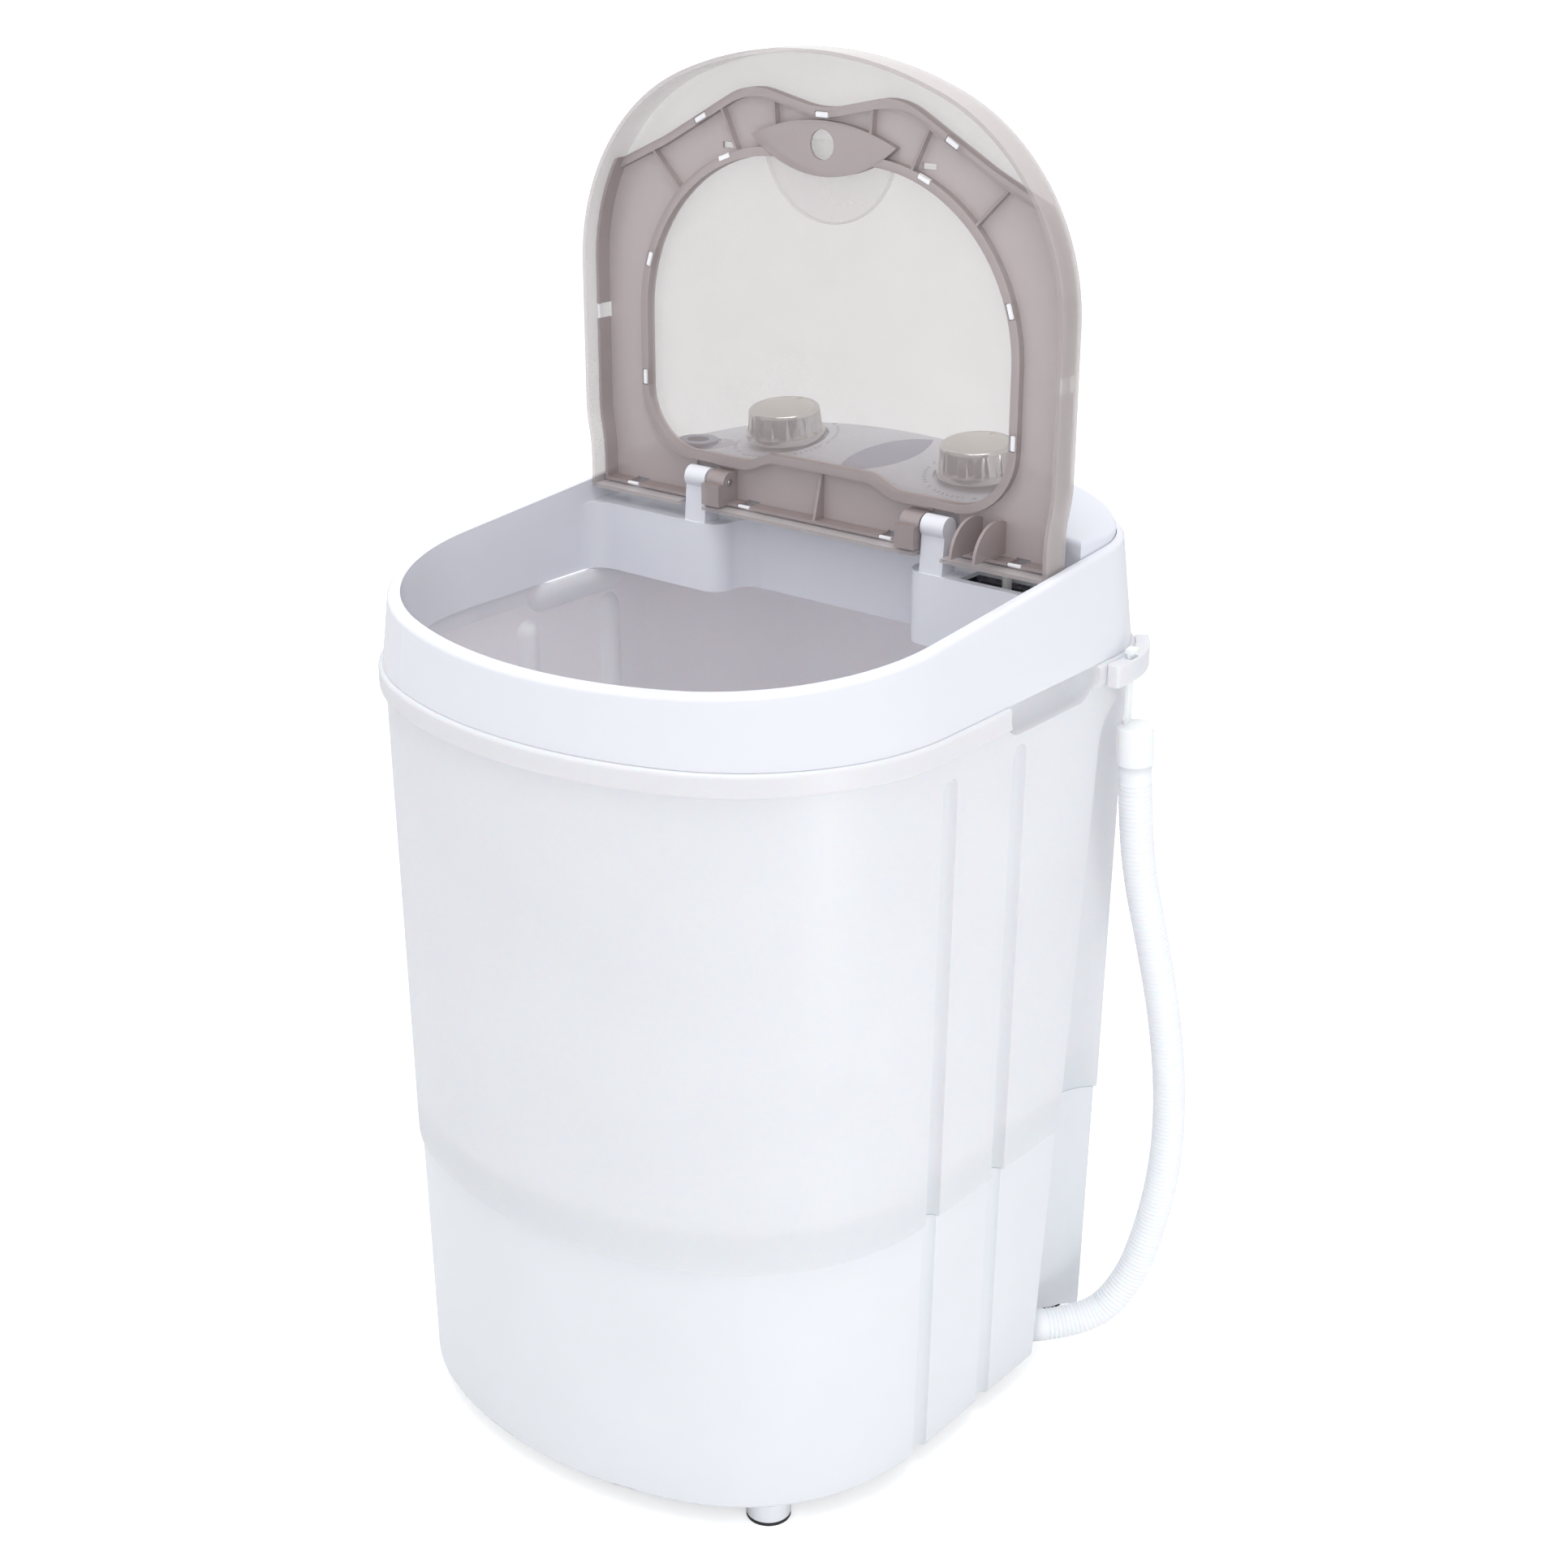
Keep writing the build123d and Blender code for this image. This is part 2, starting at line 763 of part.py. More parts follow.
def top_frame():
    """The white frame: outer wall, sloping rim, opening, deck, hinge posts and bosses."""
    foot = seam_height + shell_gap
    outer = frame_block(0, 0)
    top = outer.faces().sort_by(Axis.Z)[-1]
    outer = fillet(top.edges(), rim_round)
    outer = outer - console_bay(opening_inset, deck_height)
    outer = outer - slab(opening_plan(0), foot - overrun, deck_height + overrun)
    hollow = frame_block(wall, rim_thickness)
    hollow = hollow - slab(opening_plan(wall), foot - overrun, rim_rear_height + overrun)
    hollow = hollow - console_bay(opening_inset - wall, deck_height - deck_thickness)
    frame = outer - hollow
    frame = frame + both_sides(hinge_post())
    for x, y in tray_boss_places:
        boss = post(x, y, tray_height + tray_thickness, deck_height - deck_thickness / 2, tray_boss_radius)
        tip = tray_height + tray_thickness + screw_length
        bore = post(x, y, tray_height, tip, screw_radius + running_gap)
        frame = frame + boss - bore
    slot = block(slot_left, slot_right, slot_front, slot_rear, deck_height - overrun, deck_height + overrun)
    inlet = post(inlet_x, inlet_y, deck_height - overrun, deck_height + overrun, inlet_radius + shell_gap)
    way = gland_place() * rod((0, 0, -gland_length), (0, 0, overrun), gland_radius + shell_gap)
    return frame - slot - inlet - way


def hinge_post():
    """The right hand hinge post, leaning back to a round head, with its pin hole."""
    foot = deck_height - deck_thickness / 2
    outline = Polyline(
        (post_front_y, foot),
        (post_front_y + post_lean, pivot_height),
        (pivot_y, pivot_height + post_head_radius),
        (pivot_y + post_head_radius, pivot_height),
        (post_rear_y, pivot_height - post_head_radius),
        (post_rear_y, foot),
        close=True,
    )
    place = Plane(origin=(post_inner, 0, 0), x_dir=(0, 1, 0), z_dir=(1, 0, 0))
    shape = extrude(place * Face(Wire(outline.edges())), amount=post_width, dir=(1, 0, 0))
    outer = post_inner + post_width
    head = rod((post_inner, pivot_y, pivot_height), (outer, pivot_y, pivot_height), post_head_radius)
    bore_end = outer - pin_cover
    start = (post_inner - overrun, pivot_y, pivot_height)
    bore = rod(start, (bore_end, pivot_y, pivot_height), pin_radius + running_gap)
    return shape + head - bore


def hinge_pins():
    """Two pins, each from its post through the ear of the lid."""
    end = post_inner + post_width - pin_cover - shell_gap
    pins = []
    for side in (1, -1):
        ends = ((side * pin_inner, pivot_y, pivot_height), (side * end, pivot_y, pivot_height))
        pin = rod(*ends, pin_radius)
        pins.append(chamfer(pin.edges().filter_by(GeomType.CIRCLE), pin_chamfer))
    return Compound(children=pins)


def lid_plan(inset):
    """The outline of the lid lying flat, with its root drawn in to pass inside the rim."""
    half = lid_half_width - inset
    root = lid_root_half_width - inset
    cheek_x = lid_half_width - lid_cheek_radius
    front_y = lid_front_radius - lid_reach
    cheek_y = front_y - math.sqrt((lid_front_radius - lid_cheek_radius) ** 2 - cheek_x ** 2)
    turn = math.atan2(cheek_y - front_y, cheek_x)
    cheek = lid_cheek_radius - inset
    step = lid_half_width - lid_root_half_width
    run = lid_shoulder_end - lid_shoulder_start
    bend = (run ** 2 + step ** 2) / (4 * step)
    sweep = math.asin(run / (2 * bend))
    near = (lid_root_half_width + bend, -lid_shoulder_start)
    far = (lid_half_width - bend, -lid_shoulder_end)
    back = lid_root - inset
    right = [
        Line((half, cheek_y), (half, -lid_shoulder_end)),
        arc(far, bend - inset, 0, sweep),
        arc(near, bend + inset, math.pi + sweep, math.pi),
        Line((root, -lid_shoulder_start), (root, back)),
    ]
    left = [mirror(edge, about=Plane.YZ) for edge in right]
    edges = right + [Line((root, back), (-root, back))] + left + [
        arc((-cheek_x, cheek_y), cheek, math.pi, math.pi - turn),
        arc((0, front_y), lid_front_radius - inset, math.pi - turn, 2 * math.pi + turn),
        arc((cheek_x, cheek_y), cheek, 2 * math.pi + turn, 2 * math.pi),
    ]
    return Face(Wire([edge for line in edges for edge in line.edges()]))


def stand_up(shape):
    """Turns a piece of the lid from flat to its open place on the hinge."""
    return Pos(0, pivot_y, pivot_height) * Rot(-90, 0, 0) * shape


def notches(top):
    """Room in the root of the lid for both hinge posts, up to a level over the hinge."""
    notch = block(notch_start, notch_end, -notch_reach, lid_root + overrun, -lid_skirt_drop - overrun, top)
    return both_sides(notch)


def lid_cover():
    """The smoked outer cover, a shallow tray with a finger dish at its front."""
    outer = slab(lid_plan(0), -lid_skirt_drop, lid_outer_rise)
    outer = fillet(outer.faces().sort_by(Axis.Z)[-1].edges(), lid_edge_round)
    room = slab(lid_plan(lid_wall), -lid_skirt_drop - overrun, lid_outer_rise - lid_wall)
    ball = (dish_radius ** 2 + dish_depth ** 2) / (2 * dish_depth)
    dish = Pos(0, -dish_front, ball + lid_outer_rise - dish_depth) * Sphere(ball)
    return stand_up(outer - room - notches(lid_outer_rise - lid_wall - shell_gap) - dish)


def share_point(share_x, share_y):
    """A place on the lid from shares of its half width and its reach."""
    return (share_x * lid_half_width, -share_y * lid_reach)


def wave_face(shift):
    """All of the lid behind the wavy front line of the inner frame, moved by a shift."""
    right = [share_point(x, y) for x, y in wave_shares]
    left = [(-x, y) for x, y in reversed(right[1:])]
    points = [(x, y + shift) for x, y in left + right]
    rounds = [share * lid_half_width for share in wave_round_shares[:0:-1] + wave_round_shares]
    wave = FilletPolyline(*points, radius=rounds)
    side = lid_half_width * 2
    first, last = points[0], points[-1]
    rest = Polyline(last, (side, last[1]), (side, side), (-side, side), (-side, first[1]), first)
    return Face(Wire(list(wave.edges()) + list(rest.edges())))


def window_face(grow):
    """The rounded window of the inner frame, grown evenly."""
    right = [share_point(x, y) for x, y in window_shares]
    left = [(-x, y) for x, y in reversed(right)]
    rounds = [share * lid_half_width for share in window_round_shares + window_round_shares[::-1]]
    line = FilletPolyline(*(right + left), radius=rounds, close=True)
    face = Face(Wire(line.edges()))
    if grow == 0:
        return face
    return offset(face, amount=grow).face()


def pocket_face(grow):
    """The eye shaped finger pocket."""
    half = pocket_half_length + grow
    ends = [(-half, -pocket_y), (half, -pocket_y)]
    front = ThreePointArc(ends[0], (0, -pocket_y - pocket_rise - grow), ends[1])
    rear = ThreePointArc(ends[1], (0, -pocket_y + pocket_fall + grow), ends[0])
    return Face(Wire([front.edge(), rear.edge()]))


def lid_frame():
    """The smoked inner frame: sheet, beaded ridges, ribs, pocket, ears and switch fins."""
    top = lid_outer_rise - lid_wall - sheet_gap
    sheet_foot = top - sheet_thickness
    ridge_foot = sheet_foot - ridge_depth
    border_foot = sheet_foot - border_depth
    side = lid_wall + frame_side_gap
    inside = lid_plan(side + border_width)
    shape = slab(lid_plan(side), border_foot, top) & slab(wave_face(0), border_foot - overrun, top + overrun)
    shape = shape - slab(inside, border_foot - overrun, ridge_foot)
    behind = slab(inside, ridge_foot - overrun, sheet_foot)
    behind = behind & slab(wave_face(ridge_width), ridge_foot - overrun * 2, top)
    shape = shape - (behind - slab(window_face(ridge_width), ridge_foot - overrun * 2, top))
    for rib in rib_shares:
        shape = shape + both_sides(radial_rib(rib, sheet_foot))
    shape = shape - slab(window_face(0), ridge_foot - overrun, top + overrun)
    pocket = slab(pocket_face(pocket_wall), sheet_foot - pocket_depth, top)
    shape = shape - slab(pocket_face(pocket_wall), ridge_foot - overrun, sheet_foot - pocket_depth) + pocket
    shape = shape - slab(pocket_face(0), sheet_foot - pocket_depth + pocket_wall, top + overrun)
    shape = shape - post(0, -pocket_hole_y, ridge_foot - overrun, top + overrun, pocket_hole_radius)
    shape = take_away(shape, [clip_window(*place, border_foot, top) for place in clip_places()])
    shape = shape - notches(top + overrun) + both_sides(ear(top)) + gusset(sheet_foot)
    for x in fin_places:
        shape = shape + fin(x, sheet_foot)
    ends = ((ear_inner - overrun, 0, 0), (notch_start + overrun, 0, 0))
    return stand_up(shape - both_sides(rod(*ends, pin_radius + running_gap)))


def clip_places():
    """Places and headings of the small windows along the ridges, on both sides."""
    rows = zip(clip_shares + border_clip_shares, clip_angles + border_clip_angles)
    places = [(*share_point(*shares), turn) for shares, turn in rows]
    return places + [(-x, y, -turn) for x, y, turn in places if x > 0]


def clip_window(x, y, turn, foot, top):
    """One small window through a ridge and the sheet."""
    depth = top - foot + overrun
    place = Pos(x, y, (top + foot) / 2) * Rot(0, 0, turn)
    return place * Box(clip_length, clip_width, depth + overrun)


def radial_rib(shares, level):
    """One thin rib from the wavy ridge to the window."""
    start = Vector(*share_point(shares[0], shares[1]))
    end = Vector(*share_point(shares[2], shares[3]))
    middle = (start + end) / 2
    heading = math.degrees(math.atan2(end.Y - start.Y, end.X - start.X))
    place = Pos(middle.X, middle.Y, level - rib_depth / 2) * Rot(0, 0, heading)
    return place * Box((end - start).length, rib_width, rib_depth)


def ear(top):
    """One hinge ear on the root of the inner frame."""
    back = lid_root - lid_wall - frame_side_gap
    web = block(ear_inner, notch_start, 0, back, -lid_skirt_drop, top)
    neck = block(ear_inner, notch_start, -ear_radius, ear_radius, 0, top)
    return web + neck + rod((ear_inner, 0, 0), (notch_start, 0, 0), ear_radius)


def gusset(level):
    """The upright rib in the middle of the root, deepest at the border."""
    back = lid_root - lid_wall - frame_side_gap
    place = Plane(origin=(-rib_width / 2, 0, 0), x_dir=(0, 1, 0), z_dir=(1, 0, 0))
    line = Polyline((back, level), (back - gusset_length, level), (back, level - gusset_depth), close=True)
    return extrude(place * Face(Wire(line.edges())), amount=rib_width, dir=(1, 0, 0))


def fin(x, level):
    """One round backed fin that reaches down to the switch when the lid is shut."""
    place = Plane(origin=(x - fin_width / 2, 0, 0), x_dir=(0, 1, 0), z_dir=(1, 0, 0))
    near = (fin_foot, level)
    tip = (fin_foot, -fin_depth)
    far = (-fin_top, level)
    bend = (-fin_top * fin_bend_shares[0], -fin_depth * fin_bend_shares[1])
    edges = [Line(near, tip).edge(), ThreePointArc(tip, bend, far).edge(), Line(far, near).edge()]
    return extrude(place * Face(Wire(edges)), amount=fin_width, dir=(1, 0, 0))


def crown_section(y, crown, radius, drop, half):
    """A section across the console at a depth, with an arched top."""
    fall = radius - math.sqrt(radius ** 2 - half ** 2)
    top = crown - drop
    place = Plane(origin=(0, y, 0), x_dir=(1, 0, 0), z_dir=(0, -1, 0))
    foot = deck_height - overrun
    arch = ThreePointArc((half, top - fall), (0, top), (-half, top - fall))
    rest = Polyline((-half, top - fall), (-half, foot), (half, foot), (half, top - fall))
    return place * Face(Wire([arch.edge()] + list(rest.edges())))


def crown_solid(drop):
    """Everything under the arched top of the console, lowered by a drop."""
    front = crown_section(console_front_y, console_front_crown, console_front_radius, drop, half_width)
    rear = crown_section(rear_depth, console_rear_crown, console_rear_radius, drop, half_width)
    return loft([front, rear], ruled=True)


def console_solid(inset, drop, foot):
    """The console's outside, or the room inside it when drawn in."""
    side = half_width * 2
    plan = body_plan(opening_inset + console_gap + inset)
    plan = plan - Pos(0, console_front_y + inset - side / 2) * Rectangle(side, side)
    return crown_solid(drop) & slab(plan.face(), foot, console_rear_crown + overrun)


def dial_place(side):
    """The tilted place of a dial's seat on the console."""
    return Location((side * dial_x, dial_y, dial_height), (seat_pitch, 0, 0))


def leaf_prism(grow):
    """A lens shaped prism between the dials, grown evenly."""
    start, end = Vector(*leaf_start), Vector(*leaf_end)
    along = (end - start).normalized()
    across = Vector(-along.Y, along.X, 0)
    middle = (start + end) / 2
    start, end = start - along * grow, end + along * grow
    bow = across * (leaf_half_width + grow)
    left = ThreePointArc(start, middle + bow, end)
    right = ThreePointArc(end, middle - bow, start)
    face = Face(Wire([left.edge(), right.edge()]))
    return slab(face, deck_height, console_rear_crown + overrun)


def console():
    """The light grey console shell with its dial seats, leaf recess and inlet seat."""
    outer = console_solid(0, 0, deck_height + shell_gap)
    crown = outer.faces().sort_by(Axis.Z)[-1]
    outer = fillet(crown.edges(), console_round)
    shape = outer - console_solid(wall, wall, deck_height - overrun)
    floor_foot = -seat_depth - wall
    for side in (1, -1):
        seat = dial_place(side) * post(0, 0, -seat_depth, overrun * 2, seat_radius)
        floor = dial_place(side) * post(0, 0, floor_foot, -seat_depth, seat_radius + wall)
        hole = dial_place(side) * post(0, 0, -overrun * 2, overrun, bushing_radius + shell_gap)
        flat = dial_place(side) * post(0, 0, -overrun * 2, floor_foot, timer_shoulder_radius + wall)
        shape = shape + (floor & outer) - seat - hole - flat
    shape = shape - (leaf_prism(leaf_gap) - crown_solid(leaf_thickness + shell_gap))
    level = inlet_height - inlet_sink
    sink = post(inlet_x, inlet_y, level, console_rear_crown, inlet_sink_radius)
    shelf = post(inlet_x, inlet_y, level - wall, level, inlet_sink_radius)
    hole = post(inlet_x, inlet_y, deck_height, console_rear_crown, inlet_radius + shell_gap)
    return shape + (shelf & outer) - sink - hole


def leaf_panel():
    """The lens shaped inlay between the dials."""
    return (leaf_prism(0) & crown_solid(0)) - crown_solid(leaf_thickness)


def water_inlet():
    """The filling spout, from the console down through the deck and the splash tray."""
    seat = inlet_height - inlet_sink + running_gap
    tube = post(inlet_x, inlet_y, tray_height - wall, seat + inlet_flange_thickness, inlet_radius)
    flange = post(inlet_x, inlet_y, seat, seat + inlet_flange_thickness, inlet_flange_radius)
    bore = post(inlet_x, inlet_y, tray_height - overrun, console_rear_crown, inlet_bore_radius)
    return tube + flange - bore


def knob():
    """One fluted knob, hollow below, on its own axis with the seat at level 0."""
    flange = post(0, 0, knob_stand, knob_stand + knob_flange_height, knob_flange_radius)
    body = rod((0, 0, knob_stand + knob_flange_height), (0, 0, knob_height), knob_radius, knob_top_radius)
    body = fillet(body.edges().sort_by(Axis.Z)[-1:], knob_round)
    for index in range(knob_flutes):
        angle = 2 * math.pi * index / knob_flutes
        x, y = polar((0, 0), knob_radius + knob_flute_stand, angle)
        body = body - post(x, y, knob_stand + knob_flange_height, knob_height - knob_round, knob_flute_radius)
    sink = knob_height - cap_disc_sink
    body = body - post(0, 0, sink, knob_height + overrun, cap_disc_radius + running_gap)
    shape = flange + body - post(0, 0, 0, knob_hollow_height, knob_hollow_radius)
    shape = shape + post(0, 0, dial_nut_height + knob_stand, knob_hollow_height, knob_hub_radius)
    return shape - post(0, 0, 0, dial_shaft_top + running_gap, dial_shaft_radius + running_gap)


def knob_cap():
    """The cream disc on a knob, crowned, with a small nib at its edge."""
    foot = knob_height - cap_disc_sink
    disc = post(0, 0, foot, knob_height, cap_disc_radius)
    ball = (cap_disc_radius ** 2 + cap_disc_crown ** 2) / (2 * cap_disc_crown)
    crown = Pos(0, 0, knob_height + cap_disc_crown - ball) * Sphere(ball)
    reach = cap_disc_radius + overrun
    crown = crown & block(-reach, reach, -reach, reach, knob_height, knob_height + overrun)
    nib_foot = cap_disc_radius - nib_length - nib_radius
    nib = rod((0, nib_foot, knob_height), (0, nib_foot + nib_length, knob_height), nib_radius)
    return disc + crown + (nib & post(0, 0, knob_height, knob_height + overrun, cap_disc_radius))


def timer():
    """One timer under the console, with its threaded bushing."""
    half = timer_side / 2
    foot = -timer_drop - timer_depth
    case = block(-half, half, -half, half, foot, -timer_drop)
    case = fillet(case.edges().filter_by(Axis.Z), timer_corner)
    case = case + post(0, 0, -timer_drop, -seat_depth - wall, timer_shoulder_radius)
    bushing = post(0, 0, -timer_drop, knob_stand + dial_nut_height - shell_gap, bushing_radius)
    bore_foot = -timer_drop - dial_shaft_sink
    return case + bushing - post(0, 0, bore_foot, overrun, dial_shaft_radius + running_gap)


def dial_shaft():
    """The turning shaft of one timer."""
    return post(0, 0, -timer_drop - dial_shaft_sink, dial_shaft_top, dial_shaft_radius)


def dial_nut():
    """The ring nut that holds a timer to its seat."""
    foot = -seat_depth
    return ring(0, 0, foot, foot + dial_nut_height, dial_nut_radius, bushing_radius + running_gap)


def on_dials(make):
    """One piece on each dial as separate solids."""
    return Compound(children=[dial_place(side) * make() for side in (-1, 1)])


def switch_fin_tip():
    """Where the lower corner of a fin comes to rest when the lid is shut, as depth and height."""
    angle = math.radians(90 + rim_angle)
    ahead, below = -fin_depth, -fin_foot
    y = ahead * math.cos(angle) - below * math.sin(angle)
    z = ahead * math.sin(angle) + below * math.cos(angle)
    return pivot_y + y, pivot_height + z


def switch_body():
    """The black lid switch below the deck, hung in its slot."""
    top = deck_height - deck_thickness - switch_drop
    foot = top - switch_height
    margin = switch_margin
    body = block(slot_left + margin, slot_right - margin, slot_front, slot_rear, foot, top)
    lip_foot = top - wall
    left, right = slot_left - overrun, slot_right + overrun
    lug = block(left, right, slot_front + margin, slot_rear - margin, lip_foot, top)
    rise = both_ends(left, right, margin, top)
    y = switch_fin_tip()[0]
    hole = post(fin_places[-1], y, foot + wall, top + overrun, plunger_radius + running_gap)
    return body + lug + rise - hole


def both_ends(x0, x1, margin, top):
    """The two pads of the switch lug that meet the deck from below."""
    y0, y1 = slot_front + margin, slot_rear - margin
    deck = deck_height - deck_thickness
    return block(x0, slot_left - running_gap, y0, y1, top - wall, deck) + block(
        slot_right + running_gap, x1, y0, y1, top - wall, deck)


def switch_plunger():
    """The sprung plunger, just clear of the fin of the shut lid."""
    y, tip = switch_fin_tip()
    top = tip - plunger_gap
    foot = deck_height - deck_thickness - switch_drop - plunger_sink
    return post(fin_places[-1], y, foot, top, plunger_radius)


def switch_spring():
    """The plunger's coil spring, pressed between plunger and case."""
    y = switch_fin_tip()[0]
    body_foot = deck_height - deck_thickness - switch_drop - switch_height + wall
    plunger_foot = deck_height - deck_thickness - switch_drop - plunger_sink
    length = plunger_foot - body_foot - spring_wire * 2
    pitch = length / spring_turns
    path = Helix(pitch=pitch, height=length, radius=spring_radius)
    section = Plane(origin=path @ 0, z_dir=path % 0) * Circle(spring_wire)
    coil = sweep(section, path=path, is_frenet=True)
    return Pos(fin_places[-1], y, body_foot + spring_wire) * coil


def splash_tray():
    """The plate that closes the control room from below."""
    plate = slab(body_plan(tray_inset), tray_height, tray_height + tray_thickness)
    side = half_width * 2
    plate = plate - slab(opening_plan(wall + shell_gap), tray_height - overrun, tray_height + overrun)
    plate = plate - block(-side, side, -side, cross_wall_y, tray_height - overrun, tray_height + overrun)
    hole = post(inlet_x, inlet_y, tray_height - overrun, tray_height + overrun, inlet_radius + running_gap)
    for x, y in tray_boss_places:
        bore = post(x, y, tray_height - overrun, tray_height + overrun, screw_radius + running_gap)
        plate = plate - bore
    return plate - hole


def screw(x, y, head, tip):
    """One screw, with its head at one level and its point at another."""
    way = math.copysign(screw_head_height, head - tip)
    stem = post_between(x, y, head, tip, screw_radius)
    return stem + post_between(x, y, head, head + way, screw_head_radius)


def post_between(x, y, start, end, radius):
    """An upright bar whichever end is given first."""
    return post(x, y, min(start, end), max(start, end), radius)


def tray_screws():
    """Screws of the splash tray, put in from below."""
    top = tray_height + screw_length
    return Compound(children=[screw(x, y, tray_height, top) for x, y in tray_boss_places])


def cover_screws():
    """Screws of the bottom cover."""
    top = foot_height + screw_length
    return Compound(children=[screw(x, y, foot_height, top) for x, y in cover_screw_places])


def pulsator():
    """The wash disc with curved edge and raised vanes."""
    disc = post(0, 0, pulsator_foot, pulsator_foot + pulsator_thickness, pulsator_radius)
    disc = fillet(disc.edges(), pulsator_edge_round)
    hub = post(0, 0, pulsator_foot, pulsator_foot + pulsator_hub_height, pulsator_hub_radius)
    shape = disc + hub
    reach = pulsator_radius * vane_reach_share
    for index in range(vane_count):
        vane = block(0, reach, -vane_width / 2, vane_width / 2, 0, vane_height)
        vane = fillet(vane.faces().sort_by(Axis.Z)[-1].edges(), vane_round)
        shape = shape + Pos(0, 0, pulsator_foot) * Rot(0, 0, 360 * index / vane_count) * vane
    cap_foot = pulsator_foot + pulsator_hub_height - hub_cap_height
    shape = shape - post(0, 0, cap_foot, cap_foot + pulsator_hub_height, hub_cap_radius)
    return shape - post(0, 0, pulsator_foot - overrun, cap_foot + overrun, shaft_radius)


def pulsator_cap():
    """The cap over the screw in the hub of the pulsator."""
    foot = pulsator_foot + pulsator_hub_height - hub_cap_height
    cap = post(0, 0, foot + shell_gap, foot + hub_cap_height, hub_cap_radius - running_gap)
    cap = fillet(cap.edges().sort_by(Axis.Z)[-1:], pulsator_edge_round)
    return cap - post(0, 0, foot, foot + hub_cap_height - wall, screw_head_radius * 2)


def pulsator_screw():
    """The screw that holds the pulsator on its shaft."""
    seat = pulsator_foot + pulsator_hub_height - hub_cap_height
    return post(0, 0, seat, seat + screw_head_height, pulsator_screw_head_radius) + post(
        0, 0, shaft_top - screw_length, seat, screw_radius)


def drive_shaft():
    """The pulsator's shaft, from the drive pulley up through the tub floor."""
    top = pulsator_foot + pulsator_hub_height - hub_cap_height
    return post(0, 0, shaft_foot, top, shaft_radius) - post(0, 0, shaft_top - screw_length, top, screw_radius)


def housing_levels():
    """Foot, flange underside and top of the bearing housing."""
    flange = floor_height - housing_flange_thickness
    return flange - housing_length, flange, floor_top + neck_rise


def bearing_housing():
    """The flanged housing below the tub floor, with its neck in the floor hole."""
    foot, flange, top = housing_levels()
    shape = post(0, 0, foot, flange, housing_radius) + post(0, 0, flange, floor_height, housing_flange_radius)
    shape = shape + post(0, 0, floor_height, top, housing_neck_radius)
    for x, y in bearing_screw_places():
        shape = shape - post(x, y, flange - overrun, floor_height + overrun, screw_radius + running_gap)
    return shape - post(0, 0, foot - overrun, top + overrun, bush_radius)


def bearing_screw_places():
    """Four places round the housing's flange."""
    reach = (housing_radius + housing_flange_radius) / 2
    return [polar((0, 0), reach, math.pi * (index / 2 + 0.25)) for index in range(4)]


def shaft_bushes():
    """Two plain bushes at the ends of the housing."""
    foot, flange, top = housing_levels()
    upper = top - seal_length - bush_length
    bore = shaft_radius + running_gap
    lower = ring(0, 0, foot, foot + bush_length, bush_radius, bore)
    return Compound(children=[lower, ring(0, 0, upper, upper + bush_length, bush_radius, bore)])


def shaft_seal():
    """The lip seal at the top of the housing."""
    top = housing_levels()[2]
    return ring(0, 0, top - seal_length, top, bush_radius, shaft_radius + running_gap)


def pulley(radius, hub_radius, bore):
    """A belt pulley with a groove, resting on level 0."""
    shape = post(0, 0, 0, pulley_height, radius + belt_width / 2)
    middle = pulley_height / 2
    half = belt_height / 2 + belt_gap
    groove = ring(0, 0, middle - half, middle + half, radius + belt_width, radius - belt_width / 2)
    return shape - groove - post(0, 0, -overrun, pulley_height + overrun, bore)


def drive_pulley():
    """The large pulley below the tub, with a thin web and lightening holes."""
    shape = pulley(drive_pulley_radius, pulley_hub_radius, shaft_radius)
    inner = drive_pulley_radius - pulley_rim
    pan = ring(0, 0, pulley_web, pulley_height + overrun, inner, pulley_hub_radius)
    shape = shape - pan
    reach = (inner + pulley_hub_radius) / 2
    for index in range(pulley_holes):
        x, y = polar((0, 0), reach, 2 * math.pi * index / pulley_holes)
        shape = shape - post(x, y, -overrun, pulley_height, pulley_hole_radius)
    return Pos(0, 0, pulley_foot) * shape


def motor_pulley():
    """The small pulley on the motor shaft."""
    return Pos(0, motor_y, pulley_foot) * pulley(motor_pulley_radius, motor_pulley_radius, motor_shaft_radius)


def belt_face(grow):
    """The loop round both pulleys, grown evenly from the groove floors."""
    big = drive_pulley_radius - belt_width / 2 + grow
    small = motor_pulley_radius - belt_width / 2 + grow
    tilt = math.asin((big - small) / motor_y)
    big_arc = arc((0, 0), big, math.pi - tilt, 2 * math.pi + tilt)
    small_arc = arc((0, motor_y), small, tilt, math.pi - tilt)
    right = Line(polar((0, 0), big, tilt), polar((0, motor_y), small, tilt))
    left = Line(polar((0, motor_y), small, math.pi - tilt), polar((0, 0), big, math.pi - tilt))
    return Face(Wire([big_arc.edge(), right.edge(), small_arc.edge(), left.edge()]))


def drive_belt():
    """The drive belt, just clear of the groove floors."""
    middle = pulley_foot + pulley_height / 2
    low, high = middle - belt_height / 2, middle + belt_height / 2
    room = slab(belt_face(belt_gap), low - overrun, high + overrun)
    return slab(belt_face(belt_gap + belt_thickness), low, high) - room


